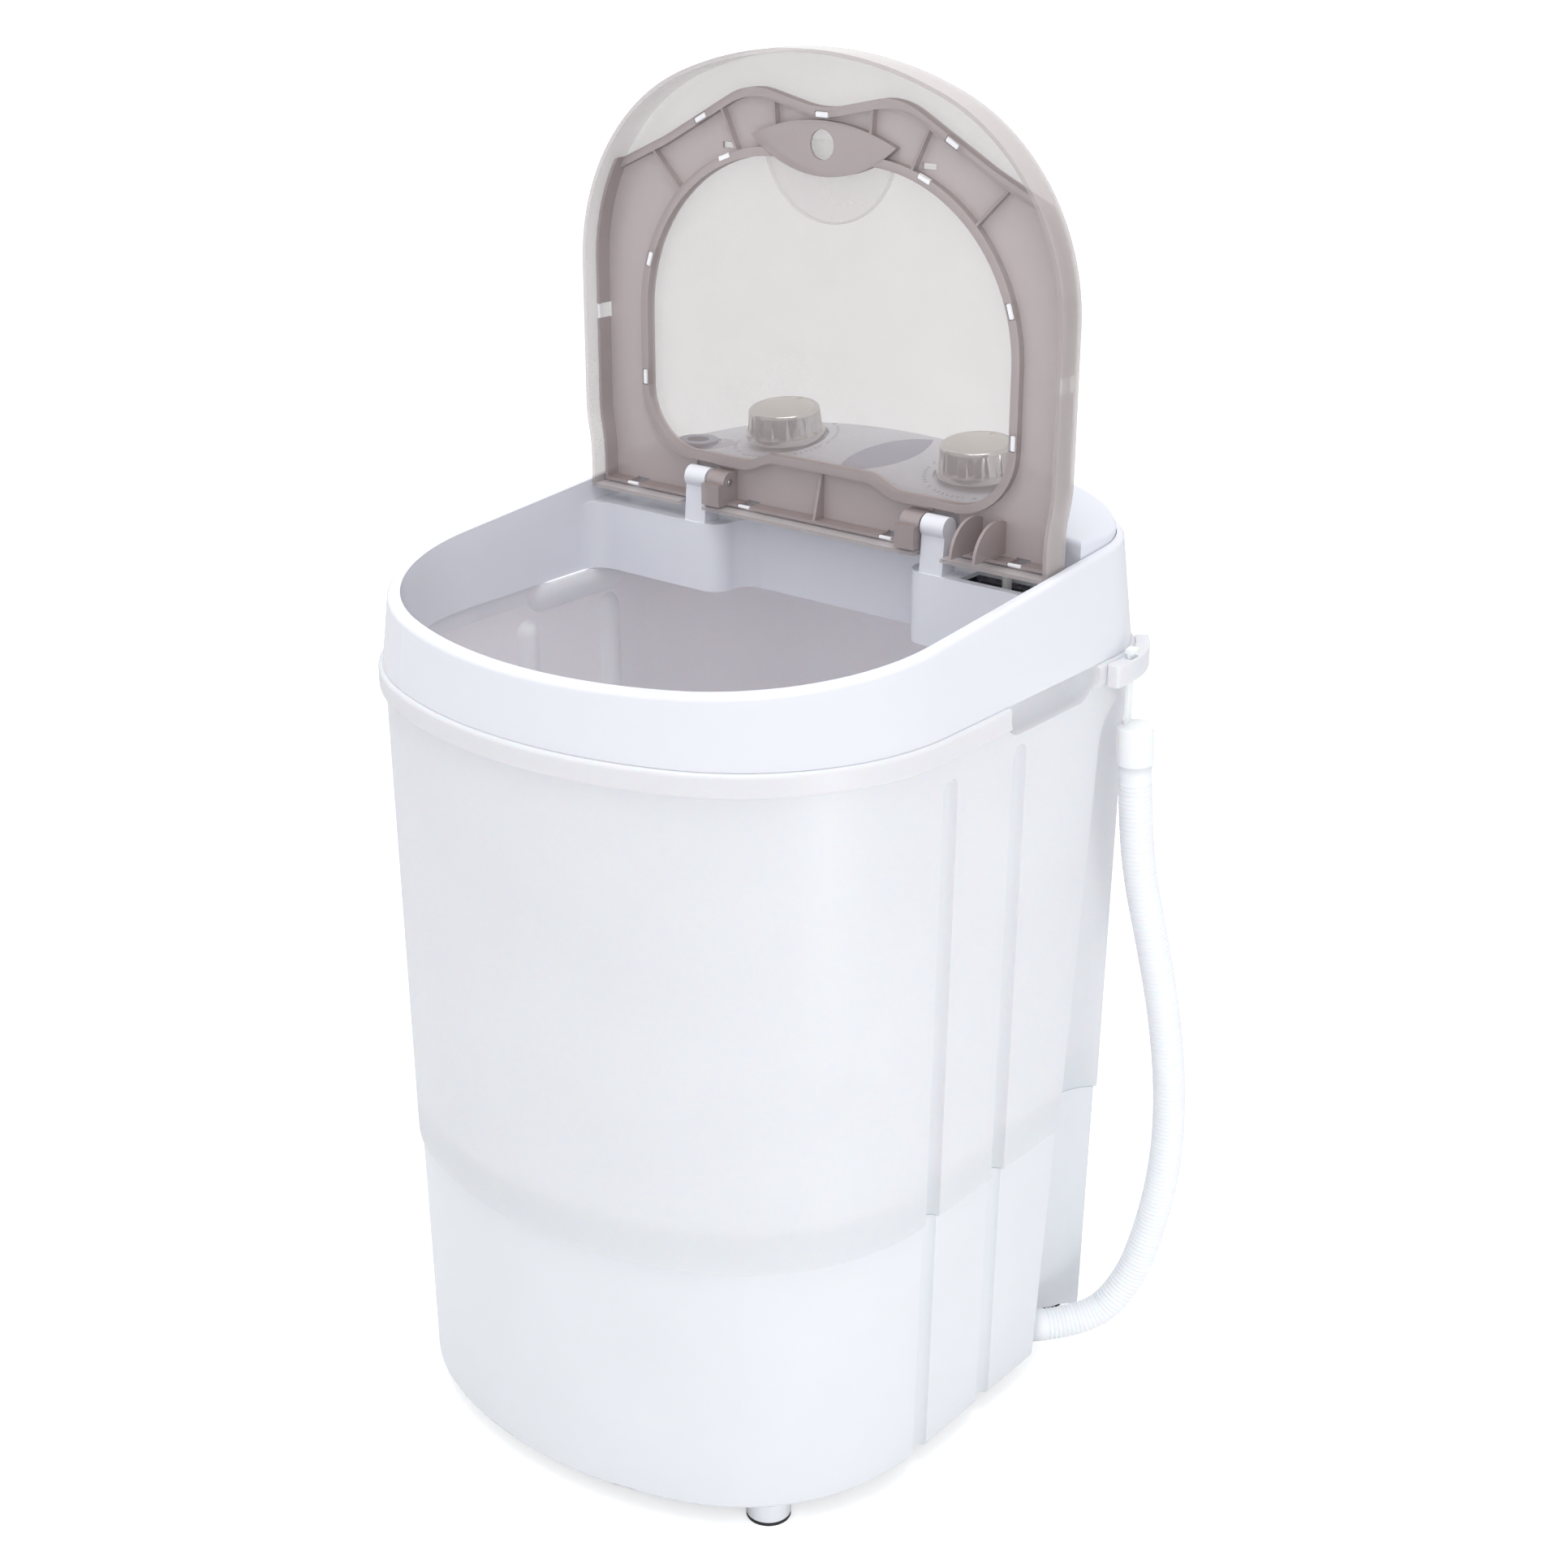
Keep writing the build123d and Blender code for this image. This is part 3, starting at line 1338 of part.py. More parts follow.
def motor():
    """The motor: two bells with the stack between them."""
    top_bell = motor_foot + motor_bell_height + motor_stack_height
    bell = motor_radius * motor_bell_share
    low = post(0, motor_y, motor_foot, motor_foot + motor_bell_height, bell)
    low = fillet(low.edges().sort_by(Axis.Z)[:1], motor_round)
    high = post(0, motor_y, top_bell, top_bell + motor_bell_height, bell)
    high = fillet(high.edges().sort_by(Axis.Z)[-1:], motor_round)
    stack = post(0, motor_y, motor_foot + motor_bell_height, top_bell, motor_radius)
    sink = motor_foot + motor_shaft_sink
    bore = post(0, motor_y, motor_foot - overrun, sink, motor_shaft_radius + running_gap)
    return low + high + stack - bore


def motor_shaft():
    """The motor's shaft, down to its pulley."""
    return post(0, motor_y, pulley_foot, motor_foot + motor_shaft_sink - shell_gap, motor_shaft_radius)


def mount_places():
    """Four places of the rubber mounts round the motor."""
    return [(sx * mount_reach, motor_y + sy * mount_reach) for sx in (1, -1) for sy in (1, -1)]


def motor_bracket():
    """The steel plate on top of the motor."""
    half = mount_reach + mount_radius + wall
    top = motor_top
    plate = block(-half, half, motor_y - half, motor_y + half, top, top + bracket_thickness)
    plate = fillet(plate.edges().filter_by(Axis.Z), mount_radius)
    for x, y in mount_places():
        plate = plate - post(x, y, top - overrun, top + overrun, bush_gap_radius)
    return plate


def motor_bushes():
    """Rubber bushes between the motor plate and the tub floor."""
    foot = motor_top + bracket_thickness
    rings = [ring(x, y, foot, floor_height, mount_radius, bush_gap_radius) for x, y in mount_places()]
    return Compound(children=rings)


def motor_screws():
    """Screws up through the motor plate and its bushes."""
    head = motor_top
    tip = floor_height - shell_gap
    return Compound(children=[screw(x, y, head, tip) for x, y in mount_places()])


def capacitor():
    """The motor's run capacitor, hung beside the motor."""
    can = post(capacitor_x, capacitor_y, floor_height - capacitor_length, floor_height, capacitor_radius)
    return fillet(can.edges().sort_by(Axis.Z)[:1], motor_round)


def capacitor_clip():
    """The band that holds the capacitor to the tub floor."""
    x, y, top = capacitor_x, capacitor_y, floor_height
    low = top - clip_band
    band = ring(x, y, low, top, capacitor_radius + clip_wall, capacitor_radius)
    reach = capacitor_radius + clip_band
    half = clip_band / 2
    foot = block(x - reach, x + reach, y - half, y + half, top - clip_wall, top)
    return band + foot - post(x, y, low - overrun, top + overrun, capacitor_radius)


def bearing_screws():
    """Screws of the bearing housing, up into the tub floor's underside."""
    flange = housing_levels()[1]
    tip = floor_height
    return Compound(children=[screw(x, y, flange, tip) for x, y in bearing_screw_places()])


def drain_grille():
    """The perforated disc over the drain."""
    top = floor_top + grille_thickness
    disc = post(drain_x, drain_y, floor_top, top, grille_radius)
    disc = fillet(disc.edges().sort_by(Axis.Z)[-1:], grille_round)
    neck_radius = grille_radius - wall - running_gap
    neck = ring(drain_x, drain_y, floor_height, floor_top, neck_radius, grille_radius - wall * 2)
    places = [(drain_x, drain_y)]
    for index in range(grille_holes):
        angle = 2 * math.pi * index / grille_holes
        places.append(polar((drain_x, drain_y), grille_radius * grille_ring_share, angle))
    shape = disc + neck
    for x, y in places:
        shape = shape - post(x, y, floor_top - overrun, top + overrun, grille_hole_radius)
    return shape


def drain_elbow():
    """The drain pipe: flange under the floor, drop tube and run to the outlet."""
    level = outlet.Z
    flange = post(drain_x, drain_y, floor_height - drain_flange_thickness, floor_height, drain_flange_radius)
    drop = post(drain_x, drain_y, level, floor_height, drain_drop_radius)
    corner = (drain_x, drain_y, level)
    run = rod(corner, outlet, drain_tube_radius)
    shape = flange + drop + run + Pos(*corner) * Sphere(drain_tube_radius)
    bore = drain_tube_radius - drain_tube_wall
    shape = shape - post(drain_x, drain_y, level, floor_height + overrun, drain_drop_radius - drain_tube_wall)
    return shape - rod(corner, outlet + hose_way * overrun, bore) - Pos(*corner) * Sphere(bore)


def outlet_nut():
    """The ring outside the base that the drain hose meets."""
    start = outlet - hose_way * nut_thickness
    return rod(start, outlet, nut_radius) - rod(start - hose_way * overrun, outlet + hose_way * overrun,
                                               drain_tube_radius + running_gap)


def hose_path():
    """The route as straight runs joined by arcs, with the arcs' radii."""
    points = [Vector(*point) for point in hose_route]
    runs = [(b - a) for a, b in zip(points, points[1:])]
    radii = []
    for before, after in zip(runs, runs[1:]):
        turn = math.radians(before.get_angle(after))
        radii.append(run_share * min(before.length, after.length) / math.tan(turn / 2))
    return FilletPolyline(*points, radius=radii), radii


def hose_section(path, share, radius):
    """A circle across the route, on a steady X axis."""
    steady = (diagonal, -diagonal, 0)
    place = Plane(origin=path @ share, x_dir=steady, z_dir=path % share)
    return (place * Circle(radius)).face().outer_wire()


def drain_hose():
    """The ribbed hose with its bore, from the outlet nut to the cap."""
    path, radii = hose_path()
    length = path.length
    print("hose radii", [round(radius, 1) for radius in radii], "length", round(length, 1))
    plain_share = cuff_length / length
    sections = [hose_section(path, 0, hose_radius)]
    pitch = (1 - 2 * plain_share) / hose_ribs
    crest = pitch * crest_share
    for index in range(hose_ribs):
        start = plain_share + index * pitch
        sections.append(hose_section(path, start, hose_root_radius))
        sections.append(hose_section(path, start + crest / 2, hose_radius))
        sections.append(hose_section(path, start + crest * 2, hose_radius))
        sections.append(hose_section(path, start + crest * 2 + crest / 2, hose_root_radius))
    sections.append(hose_section(path, 1 - plain_share, hose_root_radius))
    sections.append(hose_section(path, 1, hose_root_radius))
    outer = Solid.make_loft(sections, ruled=True)
    wire = path.wire() if hasattr(path, "wire") else Wire(path.edges())
    start = Plane(origin=path @ 0, x_dir=(diagonal, -diagonal, 0), z_dir=path % 0)
    bore = sweep((start * Circle(hose_bore_radius)).face(), path=wire)
    area = math.pi * hose_bore_radius ** 2
    print("hose bore volume", round(bore.volume), "section times length", round(area * length))
    print("hose outer volume", round(outer.volume), "least", round(math.pi * hose_root_radius ** 2 * length))
    return outer - bore


def hose_cap():
    """The cap on the hose's free end, with the strap that hangs it from the bracket."""
    end = Vector(*hose_route[-1])
    way = (end - Vector(*hose_route[-2])).normalized()
    cap = rod(end, end + way * cap_length, cap_radius)
    cap = fillet(cap.edges().sort_by(Axis.Z)[-1:], cap_wall / 2)
    cap = cap - rod(end - way * overrun, end + way * (cap_length - cap_wall), hose_bore_radius)
    corner_x = half_width - rear_radius
    corner_y = rear_depth - rear_radius
    reach = rear_radius + collar_bulge + bracket_depth / 2
    x, y = polar((corner_x, corner_y), reach, math.radians(strap_angle))
    top = collar_foot + bracket_height + wall
    foot = (end + way * cap_length).Z - cap_wall
    half, thick = strap_width / 2, strap_thickness / 2
    strap = block(-thick, thick, -half, half, foot, top)
    bead = block(-thick * 3, thick * 3, -half, half, top, top + wall)
    return cap + Pos(x, y) * Rot(0, 0, strap_angle) * (strap + bead)


def hose_bracket():
    """The bar round the rear right corner of the collar, slotted for the strap."""
    corner = (half_width - rear_radius, rear_depth - rear_radius)
    low, high = collar_foot, collar_foot + bracket_height
    bar = slab(body_plan(-collar_bulge - bracket_depth), low, high)
    bar = bar - slab(body_plan(-collar_bulge - running_gap), low - overrun, high + overrun)
    wedge = ring_sector(corner, wall, half_width, -math.pi / 4, math.radians(bracket_end))
    bar = bar & slab(wedge, low, high)
    bar = bar & block(0, half_width * 2, bracket_front_y, rear_depth * 2, low, high)
    bar = fillet(bar.edges().filter_by(Axis.Z), bracket_round)
    middle = math.radians(strap_angle)
    half = math.radians(bracket_slot_half_angle)
    slot_mid = rear_radius + collar_bulge + bracket_depth / 2
    slot_half = strap_thickness / 2 + shell_gap
    slot_inner, slot_outer = slot_mid - slot_half, slot_mid + slot_half + wall / 2
    slot = ring_sector(corner, slot_inner, slot_outer, middle - half, middle + half)
    return bar - slab(slot, collar_foot - overrun, collar_foot + bracket_height + overrun)


def ring_sector(centre, inner, outer, start, end):
    """A flat piece of a ring between two angles."""
    edges = [
        arc(centre, inner, start, end),
        Line(polar(centre, inner, end), polar(centre, outer, end)),
        arc(centre, outer, end, start),
        Line(polar(centre, outer, start), polar(centre, inner, start)),
    ]
    return Face(Wire([edge.edge() for edge in edges]))


def gland_place():
    """The cord gland's place, square to the leaning rear wall of the frame."""
    y = rear_depth - math.tan(math.radians(frame_draw)) * (gland_height - seam_height - shell_gap)
    return Location((gland_x, y, gland_height), (-90 + frame_draw, 0, 0))


def cord_gland():
    """The bushing where the mains lead would leave."""
    flange = rod((0, 0, running_gap), (0, 0, gland_flange_thickness), gland_flange_radius)
    sleeve = rod((0, 0, gland_flange_thickness - gland_length), (0, 0, gland_flange_thickness), gland_radius)
    bore = rod((0, 0, -gland_length), (0, 0, gland_length), gland_bore_radius)
    return gland_place() * (flange + sleeve - bore)


def pieces():
    """Every piece by its name."""
    return {
        "tub": tub(),
        "base_housing": base_housing(),
        "bottom_cover": bottom_cover(),
        "feet": feet(),
        "foot_pads": foot_pads(),
        "top_frame": top_frame(),
        "hinge_pins": hinge_pins(),
        "lid_cover": lid_cover(),
        "lid_frame": lid_frame(),
        "console": console(),
        "leaf_panel": leaf_panel(),
        "water_inlet": water_inlet(),
        "wash_knob": dial_place(-1) * knob(),
        "wash_knob_cap": dial_place(-1) * knob_cap(),
        "wash_timer_shaft": dial_place(-1) * dial_shaft(),
        "spin_knob": dial_place(1) * knob(),
        "spin_knob_cap": dial_place(1) * knob_cap(),
        "spin_timer_shaft": dial_place(1) * dial_shaft(),
        "timers": on_dials(timer),
        "timer_nuts": on_dials(dial_nut),
        "switch_body": switch_body(),
        "switch_plunger": switch_plunger(),
        "switch_spring": switch_spring(),
        "splash_tray": splash_tray(),
        "tray_screws": tray_screws(),
        "cover_screws": cover_screws(),
        "pulsator": pulsator(),
        "pulsator_cap": pulsator_cap(),
        "pulsator_screw": pulsator_screw(),
        "drive_shaft": drive_shaft(),
        "bearing_housing": bearing_housing(),
        "shaft_bushes": shaft_bushes(),
        "shaft_seal": shaft_seal(),
        "bearing_screws": bearing_screws(),
        "drive_pulley": drive_pulley(),
        "drive_belt": drive_belt(),
        "motor_pulley": motor_pulley(),
        "motor_shaft": motor_shaft(),
        "motor": motor(),
        "motor_bracket": motor_bracket(),
        "motor_bushes": motor_bushes(),
        "motor_screws": motor_screws(),
        "capacitor": capacitor(),
        "capacitor_clip": capacitor_clip(),
        "drain_grille": drain_grille(),
        "drain_elbow": drain_elbow(),
        "outlet_nut": outlet_nut(),
        "drain_hose": drain_hose(),
        "hose_cap": hose_cap(),
        "hose_bracket": hose_bracket(),
        "cord_gland": cord_gland(),
    }


if __name__ == "__main__":
    os.makedirs("parts", exist_ok=True)
    middle = Pos(0, (front_depth - rear_depth) / 2, 0)
    for name, shape in pieces().items():
        export_step(middle * shape, "parts/" + name + ".step")
    print("lid closes by", round(90 + rim_angle, 2), "degrees at", round(pivot_y, 3), round(pivot_height, 3))
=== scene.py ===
import json
import math

import bmesh
import bpy
from bpy.props import FloatProperty, FloatVectorProperty, IntProperty, PointerProperty, StringProperty
from bpy.types import Operator, Panel, PropertyGroup
from mathutils import Matrix, Vector
from mathutils.bvhtree import BVHTree


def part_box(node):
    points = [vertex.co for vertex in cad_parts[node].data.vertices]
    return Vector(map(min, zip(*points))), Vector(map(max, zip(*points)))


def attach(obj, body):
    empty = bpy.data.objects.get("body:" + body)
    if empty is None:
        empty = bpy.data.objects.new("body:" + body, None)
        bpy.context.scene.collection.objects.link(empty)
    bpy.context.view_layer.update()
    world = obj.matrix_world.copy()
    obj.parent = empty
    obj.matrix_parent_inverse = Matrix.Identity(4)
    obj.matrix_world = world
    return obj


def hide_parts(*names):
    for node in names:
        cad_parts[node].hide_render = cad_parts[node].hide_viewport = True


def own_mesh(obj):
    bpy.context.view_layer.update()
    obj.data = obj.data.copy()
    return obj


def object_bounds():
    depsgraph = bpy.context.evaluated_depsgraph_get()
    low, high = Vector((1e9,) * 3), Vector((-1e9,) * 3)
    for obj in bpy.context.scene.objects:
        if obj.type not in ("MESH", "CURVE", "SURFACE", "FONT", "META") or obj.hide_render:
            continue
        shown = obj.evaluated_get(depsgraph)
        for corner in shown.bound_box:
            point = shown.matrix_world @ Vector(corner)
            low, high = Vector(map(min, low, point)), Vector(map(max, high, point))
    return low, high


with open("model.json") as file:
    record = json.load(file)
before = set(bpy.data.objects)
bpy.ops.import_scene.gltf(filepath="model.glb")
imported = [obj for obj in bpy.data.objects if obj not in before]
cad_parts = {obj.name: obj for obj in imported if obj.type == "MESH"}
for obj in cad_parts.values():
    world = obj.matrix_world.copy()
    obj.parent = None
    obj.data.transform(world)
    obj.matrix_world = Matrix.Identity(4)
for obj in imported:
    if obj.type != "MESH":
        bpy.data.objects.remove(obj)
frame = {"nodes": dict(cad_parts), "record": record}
cad_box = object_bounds()

bl_info = {
    "name": "Portable washing machine",
    "version": (1, 0, 0),
    "blender": (4, 5, 0),
    "location": "View3D > Sidebar > Washer",
    "description": "Dresses the packed portable washing machine and sets its stage",
    "category": "Object",
}

MM = 0.001
# Vertices nearer to each other than this become one
WELD = 0.001 * MM
SPRING_WELD = 0.005 * MM
NODES = frame["nodes"]
BEHAVIOUR = frame["record"]["behaviour"]


# Properties


class WasherSizes(PropertyGroup):
    """Sizes of what is made here and not in the source of the solids."""

    hose_crest: FloatProperty(name="Hose crest radius", description="Radius over the hose's ribs",
                              default=9.6 * MM, unit="LENGTH")
    hose_root: FloatProperty(name="Hose root radius", description="Radius between the hose's ribs",
                             default=9.15 * MM, unit="LENGTH")
    hose_bore: FloatProperty(name="Hose bore radius", description="Radius of the way through the hose",
                             default=7.0 * MM, unit="LENGTH")
    hose_cuff: FloatProperty(name="Hose cuff", description="Plain length at each end of the hose",
                             default=10.0 * MM, unit="LENGTH")
    hose_pitch: FloatProperty(name="Rib pitch", description="Distance from rib to rib on the hose",
                              default=2.6 * MM, unit="LENGTH")
    hose_ease: FloatProperty(name="Rib shoulder", description="How far a rib's shoulders lie below its crest",
                             default=0.12 * MM, unit="LENGTH")
    hose_swell: FloatProperty(name="Cuff swell", description="How far the upper cuff stands over the roots",
                              default=0.3 * MM, unit="LENGTH")
    hose_sides: IntProperty(name="Hose sides", description="Sides of the hose's round section", default=26)
    sheet_level: FloatProperty(name="Sheet level",
                               description="How far the inner frame's sheet lies behind the hinge",
                               default=6.85 * MM, unit="LENGTH")
    level_ease: FloatProperty(name="Level ease",
                              description="How far before the sheet the ridges' shade ends",
                              default=0.1 * MM, unit="LENGTH")
    hook_length: FloatProperty(name="Hook length", description="Length of the snap hooks",
                               default=8.4 * MM, unit="LENGTH")
    hook_depth: FloatProperty(name="Hook depth", description="How far a hook reaches into its window",
                              default=2.0 * MM, unit="LENGTH")
    hook_rise: FloatProperty(name="Hook rise",
                             description="Height of a hook's middle over the ridge's foot",
                             default=1.2 * MM, unit="LENGTH")
    hook_round: FloatProperty(name="Hook edge", description="Bevel along a hook's edges",
                              default=0.35 * MM, unit="LENGTH")
    dish_height: FloatProperty(name="Dish height",
                               description="Height of the middle of the lid's finger dish",
                               default=711.5 * MM, unit="LENGTH")
    dish_radius: FloatProperty(name="Dish radius", description="Radius of the finger dish",
                               default=44.0 * MM, unit="LENGTH")
    # Half width of the painted shade ring drawn at the finger dish's edge
    dish_edge: FloatProperty(name="Dish edge", description="Half width of the dish's moulded edge",
                             default=0.6 * MM, unit="LENGTH")
    cover_haze: FloatProperty(name="Cover haze",
                              description="Share of the light that a wall of the lid cover takes",
                              default=0.36)
    rim_haze: FloatProperty(name="Frame haze",
                            description="Share of the light that a wall of the lid frame takes",
                            default=0.65)
    print_lift: FloatProperty(name="Print thickness", description="How far print stands off the surface",
                              default=0.08 * MM, unit="LENGTH")
    ring_radius: FloatProperty(name="Dial ring radius",
                               description="Radius of the printed ring round a knob",
                               default=30.5 * MM, unit="LENGTH")
    dial_shift: FloatProperty(name="Dial shift",
                              description="How far a scale's middle lies behind its knob's",
                              default=0.8 * MM, unit="LENGTH")
    dial_start: FloatProperty(name="Dial start", description="Angle of a scale's first mark in degrees",
                              default=60.0)
    dial_sweep: FloatProperty(name="Dial sweep", description="Angle that a scale covers in degrees",
                              default=300.0)
    dial_steps: IntProperty(name="Dial steps", description="Steps from tick to tick round a scale",
                            default=50)
    tick_length: FloatProperty(name="Tick length", description="Length of the printed marks",
                               default=1.8 * MM, unit="LENGTH")
    tick_width: FloatProperty(name="Tick width", description="Width of the printed marks",
                              default=0.8 * MM, unit="LENGTH")
    figure_height: FloatProperty(name="Figure height", description="Height of the printed numbers",
                                 default=3.8 * MM, unit="LENGTH")
    patch_half: FloatVectorProperty(name="Inlet patch",
                                    description="Half length and half width of the oval round the spout",
                                    size=2, default=(20.0 * MM, 11.5 * MM), unit="LENGTH")
    patch_shift: FloatVectorProperty(name="Inlet patch shift",
                                     description="How far the oval's middle lies from the spout's",
                                     size=2, default=(6.0 * MM, 0.5 * MM), unit="LENGTH")
    patch_hole: FloatProperty(name="Patch hole",
                              description="Radius of the hole in the oval round the spout",
                              default=9.2 * MM, unit="LENGTH")
    patch_sides: IntProperty(name="Patch sides", description="Sides of the oval round the spout",
                             default=48)
    patch_rings: IntProperty(name="Patch rings", description="Rings of faces across the oval", default=6)
    sensor: FloatProperty(name="Sensor", description="Width of the camera's sensor in mm", default=36.0)
    lens: FloatProperty(name="Lens", description="Focal length of the camera in mm", default=56.03)
    camera_place: FloatVectorProperty(name="Camera place", description="Where the camera stands", size=3,
                                      default=(0.8074, -0.9764, 0.8784), unit="LENGTH")
    camera_target: FloatVectorProperty(name="Camera target", description="The point that the camera faces",
                                       size=3, default=(0.0421, -0.0055, 0.3807), unit="LENGTH")
    camera_roll: FloatProperty(name="Camera roll",
                               description="Turn of the camera about its view, in degrees",
                               default=0.2)
    floor_half: FloatProperty(name="Floor", description="Half the width of the floor", default=30.0,
                              unit="LENGTH")
    floor_glow: FloatProperty(name="Floor glow",
                              description="Light that the camera alone sees on the floor",
                              default=0.5)
    sky_colour: FloatVectorProperty(name="Sky", description="Colour of the light from all round", size=3,
                                    default=(0.97, 0.98, 1.0))
    sky_strength: FloatProperty(name="Sky strength", description="Strength of the light from all round",
                                default=0.8)


class WasherColours(PropertyGroup):
    """Colours as sRGB hex values."""

    frame_white: StringProperty(name="Frame", description="Gloss moulding of the top frame",
                                default="#F4F5FB")
    tub_milk: StringProperty(name="Tub", description="Natural polypropylene of the tub", default="#F9F9FC")
    lid_smoke: StringProperty(name="Lid", description="Smoked clear lid cover", default="#BDB3B1")
    rim_smoke: StringProperty(name="Lid frame", description="Smoked inner frame of the lid",
                              default="#D0C4C4")
    console_grey: StringProperty(name="Console", description="Painted console", default="#E3E6EE")
    leaf_lilac: StringProperty(name="Leaf", description="Inlay between the dials", default="#9A9FB5")
    print_blue: StringProperty(name="Print", description="Printed marks", default="#454F69")
    paper: StringProperty(name="Paper", description="Floor and backdrop", default="#F4F4F4")
    cap_cream: StringProperty(name="Knob cap", description="Discs on the knobs", default="#DEDBCF")


# Colours and nodes


def tint(code, alpha=1.0):
    """An sRGB hex colour as linear numbers."""
    parts = [int(code[i:i + 2], 16) / 255 for i in (1, 3, 5)]
    linear = [c / 12.92 if c <= 0.04045 else ((c + 0.055) / 1.055) ** 2.4 for c in parts]
    return (*linear, alpha)


def add(tree, kind, links=None, **settings):
    """One node with its settings, socket values and incoming links."""
    node = tree.nodes.new(kind)
    for key, value in settings.items():
        setattr(node, key, value)
    for socket, value in (links or {}).items():
        if isinstance(value, bpy.types.NodeSocket):
            tree.links.new(value, node.inputs[socket])
        else:
            node.inputs[socket].default_value = value
    return node


def new_material(name):
    """An empty node material with its output."""
    material = bpy.data.materials.new(name)
    material.use_nodes = True
    material.node_tree.nodes.clear()
    return material, material.node_tree, add(material.node_tree, "ShaderNodeOutputMaterial")


def noise(tree, place, scale_mm, detail=2.0):
    """Noise whose largest patches measure about scale_mm."""
    return add(tree, "ShaderNodeTexNoise",
               {"Vector": place, "Scale": 1 / (scale_mm * MM), "Detail": detail}).outputs["Fac"]


def relief(tree, height, strength, depth_mm):
    """The shading of a shallow relief."""
    return add(tree, "ShaderNodeBump",
               {"Height": height, "Strength": strength, "Distance": depth_mm * MM}).outputs["Normal"]


def between(tree, factor, low, high):
    """A colour between two sRGB hex colours."""
    return add(tree, "ShaderNodeMix", {"Factor": factor, "A": tint(low), "B": tint(high)},
               data_type="RGBA").outputs["Result"]


def spread(tree, factor, low, high):
    """A number between two others."""
    return add(tree, "ShaderNodeMapRange", {"Value": factor, "To Min": low, "To Max": high}).outputs["Result"]


def plastic(name, low, high, roughness, patch_mm=40.0, grain_mm=1.2, bump=0.02, rough_spread=0.06,
            through=0.0, **sockets):
    """A moulded finish: slow colour drift, fine grain, uneven gloss, and a share of light let through."""
    material, tree, output = new_material(name)
    place = add(tree, "ShaderNodeTexCoord").outputs["Object"]
    drift = noise(tree, place, patch_mm, 3.0)
    colour = between(tree, drift, low, high)
    grain = noise(tree, place, grain_mm)
    shader = add(tree, "ShaderNodeBsdfPrincipled", {
        "Base Color": colour,
        "Roughness": spread(tree, drift, roughness - rough_spread, roughness + rough_spread),
        "Normal": relief(tree, grain, bump, 0.2), **sockets})
    milk = add(tree, "ShaderNodeBsdfTranslucent", {"Color": colour})
    mix = add(tree, "ShaderNodeMixShader", {0: through, 1: shader.outputs["BSDF"], 2: milk.outputs["BSDF"]})
    tree.links.new(mix.outputs["Shader"], output.inputs["Surface"])
    return material


def metal(name, low, high, roughness, stretch=(1.0, 1.0, 1.0), grain_mm=0.6, bump=0.03):
    """A metal with drawn or turned lines across its surface."""
    material, tree, output = new_material(name)
    place = add(tree, "ShaderNodeTexCoord").outputs["Object"]
    mapped = add(tree, "ShaderNodeMapping", {"Vector": place, "Scale": stretch})
    lines = noise(tree, mapped.outputs["Vector"], grain_mm)
    shader = add(tree, "ShaderNodeBsdfPrincipled", {
        "Base Color": between(tree, lines, low, high), "Metallic": 1.0,
        "Roughness": spread(tree, lines, roughness * 0.8, roughness * 1.2),
        "Normal": relief(tree, lines, bump, 0.1)})
    tree.links.new(shader.outputs["BSDF"], output.inputs["Surface"])
    return material


